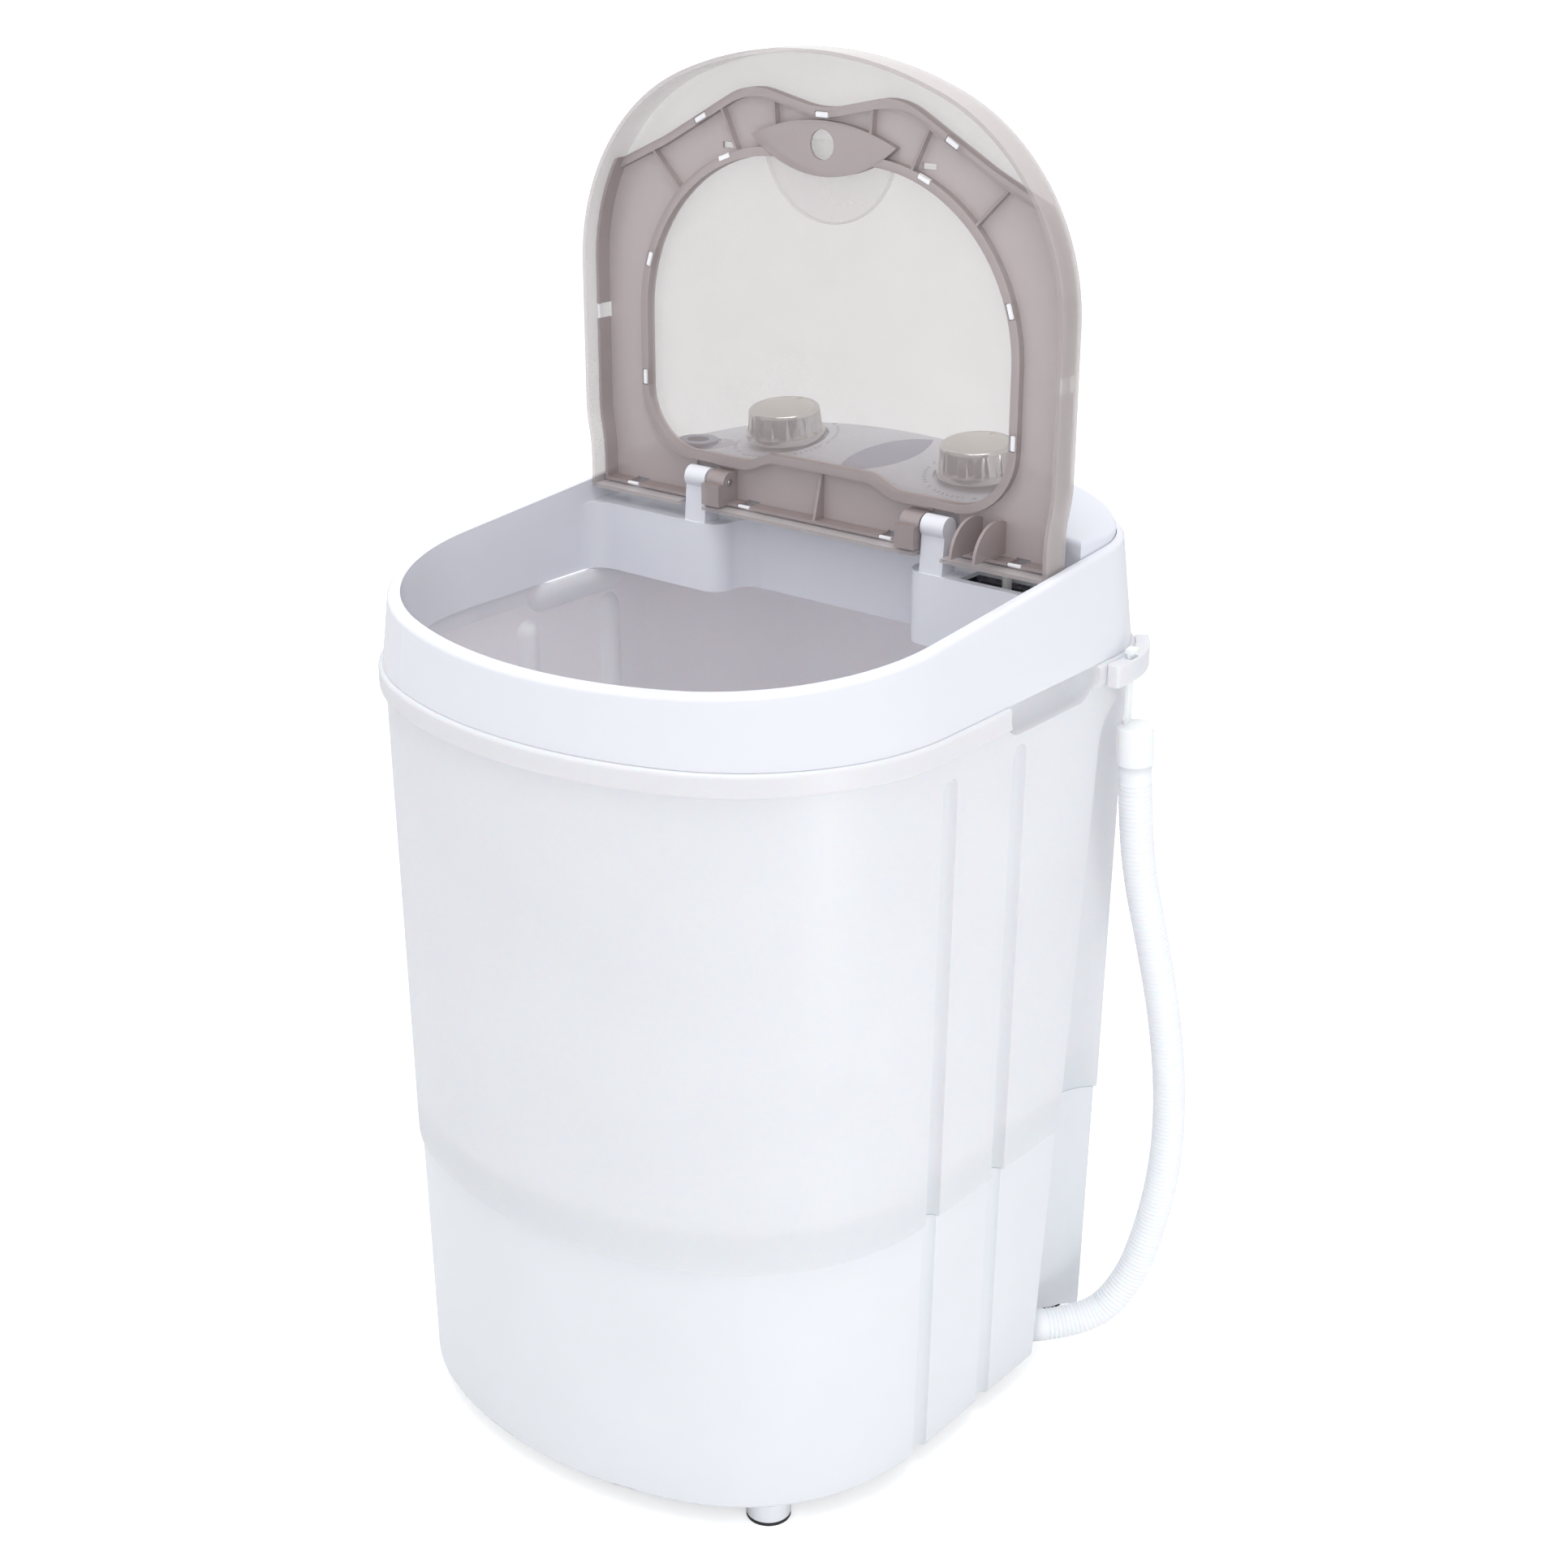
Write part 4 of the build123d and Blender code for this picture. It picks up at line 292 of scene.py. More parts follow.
def smoked(name, code, edge_code, alpha, roughness, bump, grain_mm, dish=None, level=None):
    """Smoked plastic: each wall dims what is behind it, and walls seen edge on read denser and take the edge
    colour; a paler edge colour is a painted sheen, as on the lid cover.
    """
    material, tree, output = new_material(name)
    place = add(tree, "ShaderNodeTexCoord").outputs["Object"]
    slant = add(tree, "ShaderNodeLayerWeight", {"Blend": 0.3}).outputs["Facing"]
    steep = add(tree, "ShaderNodeMapRange",
                {"Value": slant, "From Min": 0.1, "From Max": 0.9}).outputs["Result"]
    body = spread(tree, noise(tree, place, 30.0, 4.0), alpha * 0.94, alpha * 1.06)
    dense = add(tree, "ShaderNodeMix",
                {"Factor": steep, "A": body, "B": min(1.0, alpha + 0.45)}).outputs["Result"]
    # Painted shade at the finger dish: a thin denser ring at its edge and a slightly denser inside, on the
    # dish's lower half only
    if dish:
        centre, radius, width = dish
        flat = add(tree, "ShaderNodeVectorMath", {0: place, 1: (1, 0, 1)},
                   operation="MULTIPLY").outputs["Vector"]
        far = add(tree, "ShaderNodeVectorMath", {0: flat, 1: centre}, operation="DISTANCE").outputs["Value"]
        line = add(tree, "ShaderNodeMath", {0: far, 1: radius, 2: width}, operation="COMPARE").outputs[0]
        inner = add(tree, "ShaderNodeMath", {0: far, 1: radius}, operation="LESS_THAN").outputs[0]
        dish_painted_shade = add(tree, "ShaderNodeMath", {0: line, 1: 3.0, 2: inner}, operation="MULTIPLY_ADD").outputs[0]
        height = add(tree, "ShaderNodeSeparateXYZ", {0: place}).outputs["Z"]
        below = add(tree, "ShaderNodeMath", {0: height, 1: centre.z}, operation="LESS_THAN").outputs[0]
        lower_dish_painted_shade = add(tree, "ShaderNodeMath", {0: dish_painted_shade, 1: below}, operation="MULTIPLY").outputs[0]
        dense = add(tree, "ShaderNodeMath", {0: lower_dish_painted_shade, 1: 0.05, 2: dense},
                    operation="MULTIPLY_ADD").outputs[0]
    shade = steep
    # Painted shade: ribs, ridges and edges that stand in front of the sheet's level are drawn darker
    if level:
        depth = add(tree, "ShaderNodeSeparateXYZ", {0: place}).outputs["Y"]
        ridge_painted_shade = add(tree, "ShaderNodeMath", {0: depth, 1: level}, operation="LESS_THAN").outputs[0]
        shade = add(tree, "ShaderNodeMath", {0: ridge_painted_shade, 1: 0.3, 2: shade}, operation="MULTIPLY_ADD",
                    use_clamp=True).outputs[0]
    # Walls seen edge on turn towards the edge colour; the lid cover's paler edge colour is a painted sheen.
    shader = add(tree, "ShaderNodeBsdfPrincipled", {
        "Base Color": between(tree, shade, code, edge_code), "Alpha": dense, "Roughness": roughness,
        "Normal": relief(tree, noise(tree, place, grain_mm), bump, 0.2)})
    tree.links.new(shader.outputs["BSDF"], output.inputs["Surface"])
    return material


def finish(material, *names):
    """Gives a material to CAD nodes by name."""
    for name in names:
        mesh = NODES[name].data
        mesh.materials.clear()
        mesh.materials.append(material)


def made_object(name, mesh_maker, material):
    """A new object in the scene from a bmesh, with its material."""
    shape = bmesh.new()
    mesh_maker(shape)
    mesh = bpy.data.meshes.new(name)
    shape.to_mesh(mesh)
    shape.free()
    mesh.materials.append(material)
    made = bpy.data.objects.new(name, mesh)
    bpy.context.scene.collection.objects.link(made)
    return made


def new_piece(name, mesh_maker, material, body):
    """A new piece of the machine, with the body that it rides on."""
    piece = made_object(name, mesh_maker, material)
    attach(piece, body)
    return piece


def body_of_node(name):
    """The body that a CAD node belongs to."""
    return next(body for body, nodes in BEHAVIOUR["bodies"].items() if name in nodes)


def joint(name):
    """A joint's row in the record."""
    return next(row for row in BEHAVIOUR["joints"] if row["name"] == name)


def middle_of(name):
    """The middle of a CAD node's box."""
    low, high = (Vector(corner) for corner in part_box(name))
    return (low + high) / 2


# Stage


MIDDLE = (0.0, 0.0, 0.4)
# Name, place, the point that it faces, width, height and power of each lamp
LAMPS = (
    ("key", (2.1, -1.5, 1.7), MIDDLE, 1.6, 1.6, 7.0),
    ("fill", (-1.5, -1.7, 1.9), MIDDLE, 1.8, 1.8, 4.0),
    ("top", (0.1, -0.3, 2.5), MIDDLE, 1.2, 1.2, 24.0),
    ("strip", (0.972, -0.289, 0.145), (0.151, -0.105, 0.465), 0.22, 0.24, 1.1),
)


class WASHER_OT_stage(Operator):
    """Sets the camera, the pale floor and the soft lights"""

    bl_idname = "washer.stage"
    bl_label = "Stage"

    def execute(self, context):
        sizes = context.scene.washer_sizes
        camera = bpy.data.cameras.new("camera")
        camera.sensor_width = sizes.sensor
        camera.lens = sizes.lens
        holder = bpy.data.objects.new("camera", camera)
        eye = Vector(sizes.camera_place)
        turn = (Vector(sizes.camera_target) - eye).to_track_quat("-Z", "Y").to_matrix().to_4x4()
        roll = Matrix.Rotation(math.radians(sizes.camera_roll), 4, "Z")
        holder.matrix_world = Matrix.Translation(eye) @ turn @ roll
        context.scene.collection.objects.link(holder)
        context.scene.camera = holder
        self.floor(context)
        self.lights(context)
        context.scene.view_settings.view_transform = "Standard"
        return {"FINISHED"}

    def floor(self, context):
        """A wide pale plane that the camera sees as white paper, with the shadow of the object on it."""
        sizes = context.scene.washer_sizes
        colours = context.scene.washer_colours
        material, tree, output = new_material("paper_backdrop")
        diffuse = add(tree, "ShaderNodeBsdfDiffuse", {"Color": tint(colours.paper)})
        path = add(tree, "ShaderNodeLightPath")
        lift = add(tree, "ShaderNodeMath", {0: path.outputs["Is Camera Ray"], 1: sizes.floor_glow},
                   operation="MULTIPLY")
        glow = add(tree, "ShaderNodeEmission", {"Strength": lift.outputs[0]})
        both = add(tree, "ShaderNodeAddShader", {0: diffuse.outputs["BSDF"], 1: glow.outputs["Emission"]})
        tree.links.new(both.outputs["Shader"], output.inputs["Surface"])

        def make(shape):
            bmesh.ops.create_grid(shape, x_segments=1, y_segments=1, size=sizes.floor_half)

        made_object("floor", make, material)

    def lights(self, context):
        """Three soft boxes, a low strip that glints in the frame, and a sky that is white to the camera."""
        sizes = context.scene.washer_sizes
        for name, place, aim, width, height, power in LAMPS:
            lamp = bpy.data.lights.new(name, "AREA")
            lamp.shape = "RECTANGLE"
            lamp.size = width
            lamp.size_y = height
            lamp.energy = power
            holder = bpy.data.objects.new(name, lamp)
            turn = (Vector(aim) - Vector(place)).to_track_quat("-Z", "Y")
            holder.matrix_world = Matrix.Translation(place) @ turn.to_matrix().to_4x4()
            holder.visible_camera = False
            context.scene.collection.objects.link(holder)
        world = bpy.data.worlds.new("studio")
        context.scene.world = world
        world.use_nodes = True
        tree = world.node_tree
        tree.nodes.clear()
        path = add(tree, "ShaderNodeLightPath")
        first = add(tree, "ShaderNodeMath",
                    {0: path.outputs["Is Camera Ray"], 1: path.outputs["Is Transmission Ray"]},
                    operation="MAXIMUM")
        seen = add(tree, "ShaderNodeMath", {0: first.outputs[0], 1: path.outputs["Is Glossy Ray"]},
                   operation="MAXIMUM")
        sky = add(tree, "ShaderNodeBackground",
                  {"Color": (*sizes.sky_colour, 1.0), "Strength": sizes.sky_strength})
        white = add(tree, "ShaderNodeBackground", {"Color": (1.0, 1.0, 1.0, 1.0), "Strength": 1.0})
        mix = add(tree, "ShaderNodeMixShader", {0: seen.outputs[0], 1: sky.outputs[0], 2: white.outputs[0]})
        output = add(tree, "ShaderNodeOutputWorld")
        tree.links.new(mix.outputs[0], output.inputs["Surface"])


# Drain hose


HOSE_ROUTE = (
    (0.1532, 0.0957, 0.0240),
    (0.1782, 0.1207, 0.0240),
    (0.1950, 0.1375, 0.0505),
    (0.2034, 0.1459, 0.0900),
    (0.2080, 0.1505, 0.1340),
    (0.2076, 0.1501, 0.1800),
    (0.2032, 0.1457, 0.2280),
    (0.1964, 0.1389, 0.2740),
    (0.1893, 0.1318, 0.3160),
    (0.1857, 0.1282, 0.3520),
    (0.1842, 0.1267, 0.3880),
)
STEADY = Vector((1, -1, 0)).normalized()


def hose_line():
    """Evenly spaced points along the smooth line of the hose."""
    curve = bpy.data.curves.new("hose_line", "CURVE")
    curve.dimensions = "3D"
    spline = curve.splines.new("NURBS")
    spline.points.add(len(HOSE_ROUTE) - 1)
    for point, place in zip(spline.points, HOSE_ROUTE):
        point.co = (*place, 1.0)
    spline.order_u = 3
    spline.use_endpoint_u = True
    spline.resolution_u = 24
    holder = bpy.data.objects.new("hose_line", curve)
    line = bpy.data.meshes.new_from_object(holder)
    points = [v.co.copy() for v in line.vertices]
    bpy.data.meshes.remove(line)
    bpy.data.objects.remove(holder)
    bpy.data.curves.remove(curve)
    return points


def along(points, distance):
    """The place and heading at a distance along a line of points."""
    for a, b in zip(points, points[1:]):
        step = (b - a).length
        if step and distance <= step:
            return a.lerp(b, distance / step), (b - a).normalized()
        distance -= step
    a, b = points[-2], points[-1]
    return b.copy(), (b - a).normalized()


def station(points, distance, radius):
    """The matrix that puts a unit circle across the hose at a distance."""
    place, heading = along(points, distance)
    across = heading.cross(STEADY)
    turn = Matrix((STEADY, across, heading)).transposed().to_4x4()
    return Matrix.Translation(place) @ turn @ Matrix.Diagonal((radius, radius, 1, 1))


def hose_profile(sizes, length):
    """Distances and radii along the outside of the hose."""
    start, end = sizes.hose_cuff, length - sizes.hose_cuff
    count = round((end - start) / sizes.hose_pitch)
    pitch = (end - start) / count
    crest, root = sizes.hose_crest, sizes.hose_root
    shoulder, collar = crest - sizes.hose_ease, root + sizes.hose_swell
    profile = [(0.0, crest), (start * 0.92, crest), (start, root)]
    for index in range(count):
        foot = start + index * pitch
        profile += [(foot + pitch * 0.18, root), (foot + pitch * 0.34, shoulder),
                    (foot + pitch * 0.52, crest), (foot + pitch * 0.70, shoulder),
                    (foot + pitch * 0.88, root)]
    return profile + [(end + pitch * 0.2, root), (end + sizes.hose_cuff * 0.3, collar), (length, collar)]


class WASHER_OT_hose(Operator):
    """Makes the ribbed drain hose along its smooth line"""

    bl_idname = "washer.hose"
    bl_label = "Drain hose"

    def execute(self, context):
        sizes = context.scene.washer_sizes
        points = hose_line()
        length = sum((b - a).length for a, b in zip(points, points[1:]))
        outside = hose_profile(sizes, length)
        steps = round(length / sizes.hose_pitch)
        inside = [(length * (1 - index / steps), sizes.hose_bore) for index in range(steps + 1)]
        profile = outside + inside

        def make(shape):
            circle = bmesh.ops.create_circle(shape, segments=sizes.hose_sides, radius=1.0)
            ring = circle["verts"]
            previous = station(points, *profile[0])
            bmesh.ops.transform(shape, matrix=previous, verts=ring)
            first = shape.edges[:]
            edges = first
            for distance, radius in profile[1:]:
                grown = bmesh.ops.extrude_edge_only(shape, edges=edges)["geom"]
                ring = [g for g in grown if isinstance(g, bmesh.types.BMVert)]
                edges = [g for g in grown if isinstance(g, bmesh.types.BMEdge)]
                current = station(points, distance, radius)
                bmesh.ops.transform(shape, matrix=current @ previous.inverted(), verts=ring)
                previous = current
            bmesh.ops.bridge_loops(shape, edges=first + edges)
            bmesh.ops.recalc_face_normals(shape, faces=shape.faces)

        # Natural polyethylene, corrugated: milky, soft gloss on the crests of the ribs
        material = plastic("polyethylene_corrugated", "#F1F2F6", "#F8F8FB", 0.36, patch_mm=25, grain_mm=0.8,
                           bump=0.03, **{"Subsurface Weight": 0.25, "Subsurface Scale": 4 * MM})
        piece = new_piece("drain_hose_ribbed", make, material, body_of_node("drain_hose"))
        for face in piece.data.polygons:
            face.use_smooth = True
        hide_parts("drain_hose")
        path = [tuple(along(points, distance)[0]) for distance, radius in outside]
        return {"FINISHED"}


# Shell


class WASHER_OT_shell(Operator):
    """Gives tub, base, frame and feet their moulded finishes"""

    bl_idname = "washer.shell"
    bl_label = "Tub, base and frame"

    def execute(self, context):
        colours = context.scene.washer_colours
        # Natural polypropylene, injection moulded: milky depth, soft gloss, faint flow marks
        milk = plastic("polypropylene_natural_moulded", "#F3F3F7", colours.tub_milk, 0.34, patch_mm=70,
                       grain_mm=1.6, bump=0.025, through=0.3,
                       **{"Subsurface Weight": 0.3, "Subsurface Scale": 6 * MM})
        finish(milk, "tub", "hose_bracket")
        # White polypropylene, moulded: as the tub but denser and cooler
        dense = plastic("polypropylene_white_moulded", "#DEE1E5", "#E6E9ED", 0.36, patch_mm=80,
                        grain_mm=1.6, bump=0.025)
        finish(dense, "base_housing", "splash_tray", "feet", "outlet_nut")
        # ABS, moulded in a polished tool: bluish white with clear reflections
        gloss = plastic("abs_polished_moulded", "#EFF0F7", colours.frame_white, 0.1, patch_mm=90,
                        through=0.12, grain_mm=3.0, bump=0.008, rough_spread=0.02)
        finish(gloss, "top_frame")
        # Grey polypropylene, moulded: flat and dull below the base
        dull = plastic("polypropylene_grey_moulded", "#B9BCC2", "#C4C7CC", 0.55, grain_mm=0.9, bump=0.06)
        finish(dull, "bottom_cover", "drain_elbow", "drive_pulley")
        # Natural rubber, pressed: near black with a dusty sheen
        rubber = plastic("rubber_pressed", "#1B1B1D", "#2A2A2D", 0.72, patch_mm=12, grain_mm=0.5, bump=0.15)
        finish(rubber, "foot_pads", "shaft_seal", "drive_belt", "motor_bushes", "cord_gland")
        # Polyethylene, moulded: waxy milky white of the hose fitting
        waxy = plastic("polyethylene_moulded", "#F2F4F6", "#F9FAFC", 0.3, patch_mm=20, grain_mm=0.9,
                       bump=0.03, **{"Subsurface Weight": 0.3, "Subsurface Scale": 4 * MM})
        finish(waxy, "hose_cap")
        return {"FINISHED"}


# Distance across, height over the hinge, turn in degrees, level of the ridge's foot and width of each hook
# The lengths are in mm
HOOK_PLACES = ((0.0, 209.6, 0, 2.05, 2.9), (84.0, 201.7, 29, 2.05, 2.9), (67.0, 182.0, 22, 2.05, 2.9),
               (122.8, 120.5, 72, 2.05, 2.9), (127.5, 52.0, 90, 2.05, 2.9), (50.0, -11.8, 0, -2.95, 1.6),
               (134.5, -11.8, 0, -2.95, 1.6), (158.5, 87.1, 90, -2.95, 1.6))


class WASHER_OT_lid(Operator):
    """Gives the lid its smoked clear plastic"""

    bl_idname = "washer.lid"
    bl_label = "Lid"

    def execute(self, context):
        colours = context.scene.washer_colours
        sizes = context.scene.washer_sizes
        # Smoked SAN, moulded and polished: clear, warm grey, a little darker at each wall. Walls seen edge on
        # turn a paler grey, a painted sheen.
        # Painted shade on the lower half of its finger dish: a thin denser ring at the dish's edge and a
        # slightly denser inside
        dish = (Vector((0, 0, sizes.dish_height)), sizes.dish_radius, sizes.dish_edge)
        cover = smoked("san_smoked_polished", colours.lid_smoke, "#DAD5D5", sizes.cover_haze, 0.08, 0.01,
                       2.0, dish)
        finish(cover, "lid_cover")
        # Smoked SAN from an etched tool: hazier, and walls seen edge on read dark. Ribs, ridges and edges
        # that stand in front of the sheet get painted shade, a darker colour
        level = joint("lid_hinge")["pos_m"][1] + sizes.sheet_level - sizes.level_ease
        rim = smoked("san_smoked_etched", colours.rim_smoke, "#877876", sizes.rim_haze, 0.3, 0.08, 0.8,
                     level=level)
        finish(rim, "lid_frame")
        # Polycarbonate, moulded: the cover's snap hooks, which catch the light white
        hook = plastic("polycarbonate_hook_moulded", "#F4F5F8", "#FDFDFF", 0.2, patch_mm=6, grain_mm=0.6,
                       bump=0.03)
        new_piece("lid_clip_hooks", self.hooks, hook, body_of_node("lid_frame"))
        # Steel wire, drawn: bright and slightly streaked
        finish(metal("steel_drawn", "#9A9A9C", "#C2C2C4", 0.28, (0.05, 1, 1)), "hinge_pins")
        return {"FINISHED"}

    def hooks(self, shape):
        """The small snap hooks that stand along the ridges and the border, at their windows."""
        sizes = bpy.context.scene.washer_sizes
        hinge = Vector(joint("lid_hinge")["pos_m"])
        for across, up, turn, level, width in HOOK_PLACES:
            for side in (1, -1) if across else (1,):
                block = bmesh.ops.create_cube(shape, size=1.0)["verts"]
                spot = hinge + Vector((side * across * MM, level * MM + sizes.hook_rise, up * MM))
                turned = Matrix.Rotation(math.radians(side * turn), 4, "Y")
                scale = Matrix.Diagonal((sizes.hook_length, sizes.hook_depth, width * MM, 1))
                bmesh.ops.transform(shape, matrix=Matrix.Translation(spot) @ turned @ scale, verts=block)
                edges = list({edge for vert in block for edge in vert.link_edges})
                bmesh.ops.bevel(shape, geom=edges, offset=sizes.hook_round, segments=2, affect="EDGES")
        bmesh.ops.recalc_face_normals(shape, faces=shape.faces)


# Console


def surface_of(name):
    """A search tree over the outside of a CAD node."""
    shape = bmesh.new()
    shape.from_mesh(NODES[name].data)
    tree = BVHTree.FromBMesh(shape)
    shape.free()
    return tree


def lay_on(tree, vertices, lift):
    """Drops vertices straight down on to a surface, a little proud of it."""
    for vertex in vertices:
        place = tree.ray_cast(Vector((vertex.co.x, vertex.co.y, cad_box[1][2])), Vector((0, 0, -1)))[0]
        if place is None:
            raise RuntimeError("print misses the console")
        vertex.co.z += place.z + lift


class WASHER_OT_console(Operator):
    """Finishes the console with its inlay, inlet and printed dial marks"""

    bl_idname = "washer.console"
    bl_label = "Console"

    def execute(self, context):
        colours = context.scene.washer_colours
        # ABS, moulded and lacquered: pale grey with even soft gloss
        grey = plastic("abs_lacquered", "#DCDFE8", colours.console_grey, 0.24, patch_mm=60, grain_mm=2.0,
                       bump=0.012, rough_spread=0.03)
        finish(grey, "console")
        # Tinted acrylic, moulded: deep lilac grey under a clear gloss
        lilac = plastic("acrylic_tinted", "#8C91A8", colours.leaf_lilac, 0.12, patch_mm=20, grain_mm=2.0,
                        bump=0.01, rough_spread=0.02, **{"Coat Weight": 0.5})
        finish(lilac, "leaf_panel")
        # ABS, moulded: blue grey of the filling spout
        slate = plastic("abs_blue_grey_moulded", "#7F8AA0", "#8E99AE", 0.3, patch_mm=15, grain_mm=1.0,
                        bump=0.03)
        finish(slate, "water_inlet")
        # Glass filled nylon, moulded: black and dry
        black = plastic("nylon_black_moulded", "#1A1B1D", "#242528", 0.55, patch_mm=15, grain_mm=0.7,
                        bump=0.1)
        finish(black, "timers", "switch_body", "bearing_housing")
        # Acetal, moulded: bright white slippery pin
        finish(plastic("acetal_moulded", "#ECECE8", "#F4F4F0", 0.3, 10, 0.8), "switch_plunger")
        self.inlet_patch(context, lilac)
        self.print_marks(context)
        return {"FINISHED"}

    def inlet_patch(self, context, film):
        """A thin tinted oval round the filling spout, open where the spout stands."""
        sizes = context.scene.washer_sizes
        middle = middle_of("water_inlet")
        tree = surface_of("console")
        steps = sizes.patch_rings

        def make(shape):
            bmesh.ops.create_circle(shape, segments=sizes.patch_sides, radius=1.0)
            rings = shape.edges[:]
            previous = Matrix.Identity(4)
            for step in range(steps + 1):
                if step:
                    rings = [g for g in bmesh.ops.extrude_edge_only(shape, edges=rings)["geom"]
                             if isinstance(g, bmesh.types.BMEdge)]
                share = step / steps
                spot = middle + Vector((*sizes.patch_shift, 0)) * (1 - share)
                half = [sizes.patch_half[i] * (1 - share) + sizes.patch_hole * share for i in (0, 1)]
                current = Matrix.Translation((spot.x, spot.y, 0)) @ Matrix.Diagonal((*half, 1, 1))
                moved = list({vert for edge in rings for vert in edge.verts})
                bmesh.ops.transform(shape, matrix=current @ previous.inverted(), verts=moved)
                previous = current
            lay_on(tree, shape.verts, sizes.print_lift)
            self.thicken(shape, sizes.print_lift * 0.9)

        new_piece("inlet_patch", make, film, "housing")

    def print_marks(self, context):
        """Dots and plain numbers round both dials, laid on the console."""
        sizes = context.scene.washer_sizes
        colours = context.scene.washer_colours
        # Pad printing ink: flat blue grey film
        ink = plastic("ink_pad_printed", "#3B445C", colours.print_blue, 0.5, patch_mm=4, grain_mm=0.4,
                      bump=0.05)
        tree = surface_of("console")
        for name, figures in (("wash", (0, 3, 6, 9, 12, 15)), ("spin", (0, 1, 2, 3, 4, 5))):
            centre = middle_of(name + "_knob")
            centre.y += sizes.dial_shift
            self.ticks(name, centre, tree, sizes, ink)
            self.figures(name, centre, tree, sizes, ink, figures)

    def ticks(self, name, centre, tree, sizes, ink):
        """A ring of short ticks round one dial, open where a number stands and at the rear."""
        def make(shape):
            steps = sizes.dial_steps
            for index in range(steps + 1):
                if index % 10 in (0, 1, 9):
                    continue
                angle = math.radians(sizes.dial_start - sizes.dial_sweep * index / steps)
                made = bmesh.ops.create_grid(shape, x_segments=1, y_segments=1, size=0.5)["verts"]
                scale = Matrix.Diagonal((sizes.tick_length, sizes.tick_width, 1, 1))
                spot = Matrix.Rotation(angle, 4, "Z") @ Matrix.Translation((sizes.ring_radius, 0, 0))
                move = Matrix.Translation((centre.x, centre.y, 0))
                bmesh.ops.transform(shape, matrix=move @ spot @ scale, verts=made)
            lay_on(tree, shape.verts, sizes.print_lift)
            self.thicken(shape, sizes.print_lift * 0.9)

        new_piece(name + "_dial_ticks", make, ink, "housing")

    def thicken(self, shape, depth):
        """Gives print its thickness downward."""
        bmesh.ops.recalc_face_normals(shape, faces=shape.faces)
        for face in shape.faces:
            if face.normal.z < 0:
                face.normal_flip()
        bmesh.ops.solidify(shape, geom=shape.faces[:], thickness=depth)

    def figures(self, name, centre, tree, sizes, ink, figures):
        """Plain numbers in the gaps of the ring."""
        shape = bmesh.new()
        for index, figure in enumerate(figures):
            angle = math.radians(sizes.dial_start - sizes.dial_sweep * index / (len(figures) - 1))
            text = bpy.data.curves.new("figure", "FONT")
            text.body = str(figure)
            text.size = sizes.figure_height
            text.align_x = "CENTER"
            text.align_y = "CENTER"
            text.resolution_u = 3
            holder = bpy.data.objects.new("figure", text)
            mesh = bpy.data.meshes.new_from_object(holder)
            reach = sizes.ring_radius
            spot = Vector((centre.x + reach * math.cos(angle), centre.y + reach * math.sin(angle), 0))
            mesh.transform(Matrix.Translation(spot))
            shape.from_mesh(mesh)
            bpy.data.meshes.remove(mesh)
            bpy.data.objects.remove(holder)
            bpy.data.curves.remove(text)

        def make(target):
            bmesh.ops.remove_doubles(shape, verts=shape.verts, dist=WELD)
            lay_on(tree, shape.verts, sizes.print_lift)
            self.thicken(shape, sizes.print_lift * 0.9)
            mesh = bpy.data.meshes.new("figures")
            shape.to_mesh(mesh)
            target.from_mesh(mesh)
            bpy.data.meshes.remove(mesh)

        new_piece(name + "_dial_figures", make, ink, "housing")
        shape.free()


class WASHER_OT_knobs(Operator):
    """Finishes knobs, caps, shafts and nuts"""

    bl_idname = "washer.knobs"
    bl_label = "Knobs"

    def execute(self, context):
        colours = context.scene.washer_colours
        # ABS, moulded and vacuum metallised: bright mirror flutes, slightly warm
        silver = metal("abs_vacuum_metallised", "#C9C8C2", "#DEDDD8", 0.13, (1, 1, 1), 3.0, 0.01)
        finish(silver, "wash_knob", "spin_knob")
        # ABS, moulded: cream disc with soft gloss
        cream = plastic("abs_cream_moulded", "#D6D3C6", colours.cap_cream, 0.3, patch_mm=12, grain_mm=0.9,
                        bump=0.04)
        finish(cream, "wash_knob_cap", "spin_knob_cap")
        # Steel, turned: fine rings and soft mirror
        steel = metal("steel_turned", "#8E8E90", "#B8B8BA", 0.3, (1, 1, 12), 0.5, 0.05)
        finish(steel, "wash_timer_shaft", "spin_timer_shaft", "timer_nuts", "drive_shaft", "motor_shaft",
               "switch_spring")
        coil = new_piece("switch_spring_pressed", self.spring, steel, "housing")
        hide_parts("switch_spring")
        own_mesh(coil)
        return {"FINISHED"}

    def spring(self, shape):
        """The plunger's spring: the CAD coil, copied with its doubled vertices joined."""
        shape.from_mesh(NODES["switch_spring"].data)
        bmesh.ops.remove_doubles(shape, verts=shape.verts, dist=SPRING_WELD)
        bmesh.ops.recalc_face_normals(shape, faces=shape.faces)


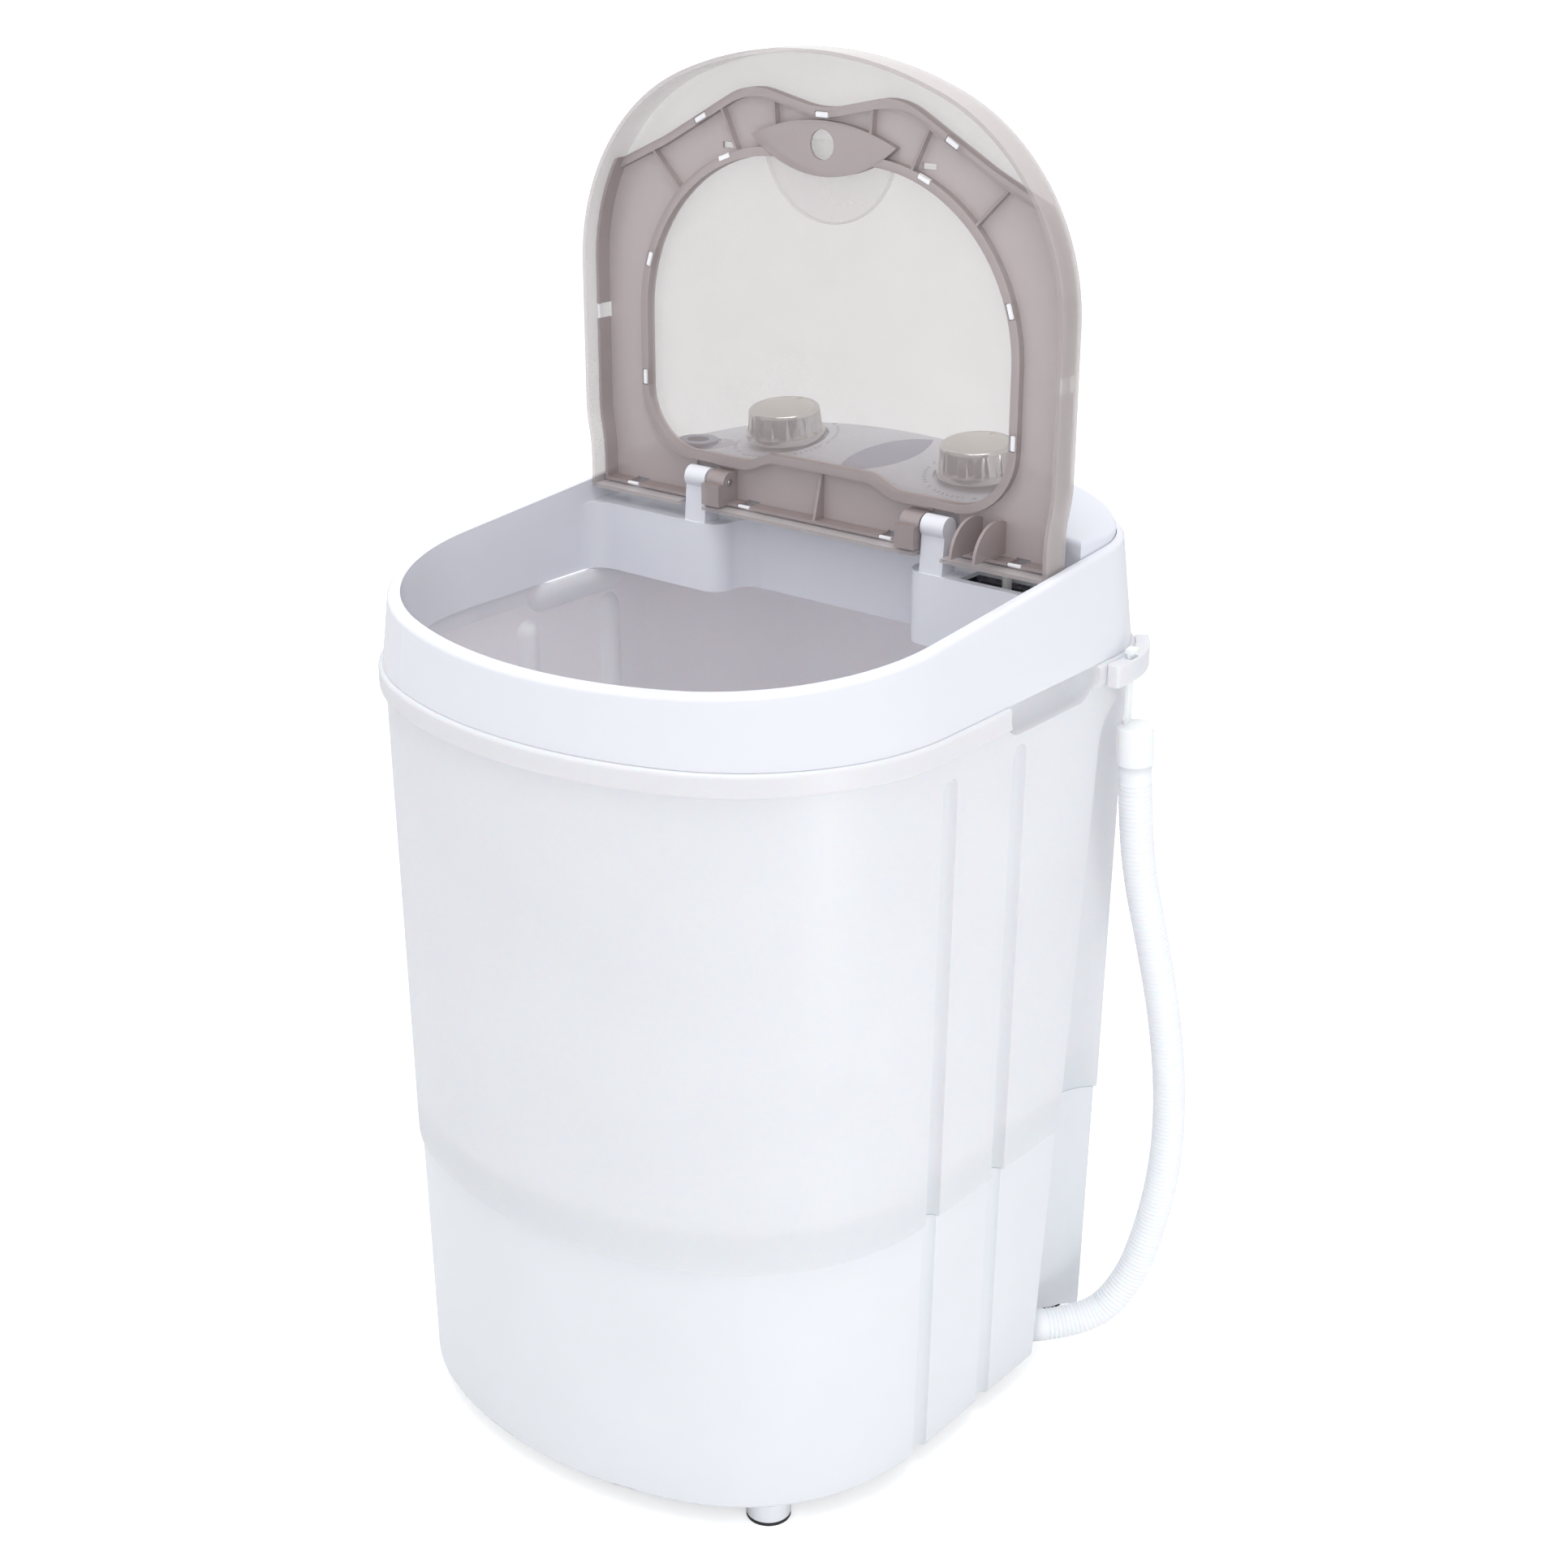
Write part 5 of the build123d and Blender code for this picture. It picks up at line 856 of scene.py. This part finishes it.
class WASHER_OT_drive(Operator):
    """Finishes wash disc, bearing, pulleys, motor, drain and screws"""

    bl_idname = "washer.drive"
    bl_label = "Drive and drain"

    def execute(self, context):
        # Polypropylene, moulded: pale blue white wash disc
        disc = plastic("polypropylene_pale_moulded", "#DDE5EE", "#E6ECF3", 0.3, patch_mm=35, grain_mm=1.2,
                       bump=0.03)
        finish(disc, "pulsator", "pulsator_cap", "drain_grille")
        # Steel, zinc plated: cool grey with faint spangle
        zinc = metal("steel_zinc_plated", "#A4A8AC", "#C4C7CA", 0.34, (1, 1, 1), 2.0, 0.03)
        finish(zinc, "motor_bracket", "capacitor_clip", "tray_screws", "cover_screws", "pulsator_screw",
               "bearing_screws", "motor_screws")
        # Bronze, sintered: warm and porous
        finish(metal("bronze_sintered", "#8A6238", "#A77B49", 0.45, (1, 1, 1), 0.4, 0.12), "shaft_bushes")
        # Aluminium, turned: bright rings
        finish(metal("aluminium_turned", "#B9BABD", "#D6D7DA", 0.3, (1, 1, 14), 0.5, 0.05), "motor_pulley")
        # Steel, painted: grey with slight orange peel
        finish(plastic("steel_painted", "#5C6065", "#6B6F75", 0.4, 40, 1.4, 0.08), "motor")
        # Phenolic, moulded: pale capacitor can
        finish(plastic("phenolic_moulded", "#CFCEC9", "#DAD9D4", 0.42, 20, 0.9, 0.04), "capacitor")
        return {"FINISHED"}


# Panel and registration


class WASHER_PT_panel(Panel):
    """Lists the washing machine's makers in the sidebar"""

    bl_idname = "WASHER_PT_panel"
    bl_label = "Washer"
    bl_space_type = "VIEW_3D"
    bl_region_type = "UI"
    bl_category = "Washer"

    def draw(self, context):
        for operator in OPERATORS:
            self.layout.operator(operator.bl_idname)
        for group in (context.scene.washer_sizes, context.scene.washer_colours):
            for name in group.__annotations__:
                self.layout.prop(group, name)


OPERATORS = (WASHER_OT_stage, WASHER_OT_hose, WASHER_OT_shell, WASHER_OT_lid, WASHER_OT_console,
             WASHER_OT_knobs, WASHER_OT_drive)
CLASSES = (WasherSizes, WasherColours, *OPERATORS, WASHER_PT_panel)


def register():
    for item in CLASSES:
        bpy.utils.register_class(item)
    bpy.types.Scene.washer_sizes = PointerProperty(type=WasherSizes)
    bpy.types.Scene.washer_colours = PointerProperty(type=WasherColours)


def unregister():
    del bpy.types.Scene.washer_colours
    del bpy.types.Scene.washer_sizes
    for item in reversed(CLASSES):
        bpy.utils.unregister_class(item)


def main():
    """Makes everything in order."""
    register()
    for operator in OPERATORS:
        group, name = operator.bl_idname.split(".")
        getattr(getattr(bpy.ops, group), name)()


if __name__ == "__main__":
    main()
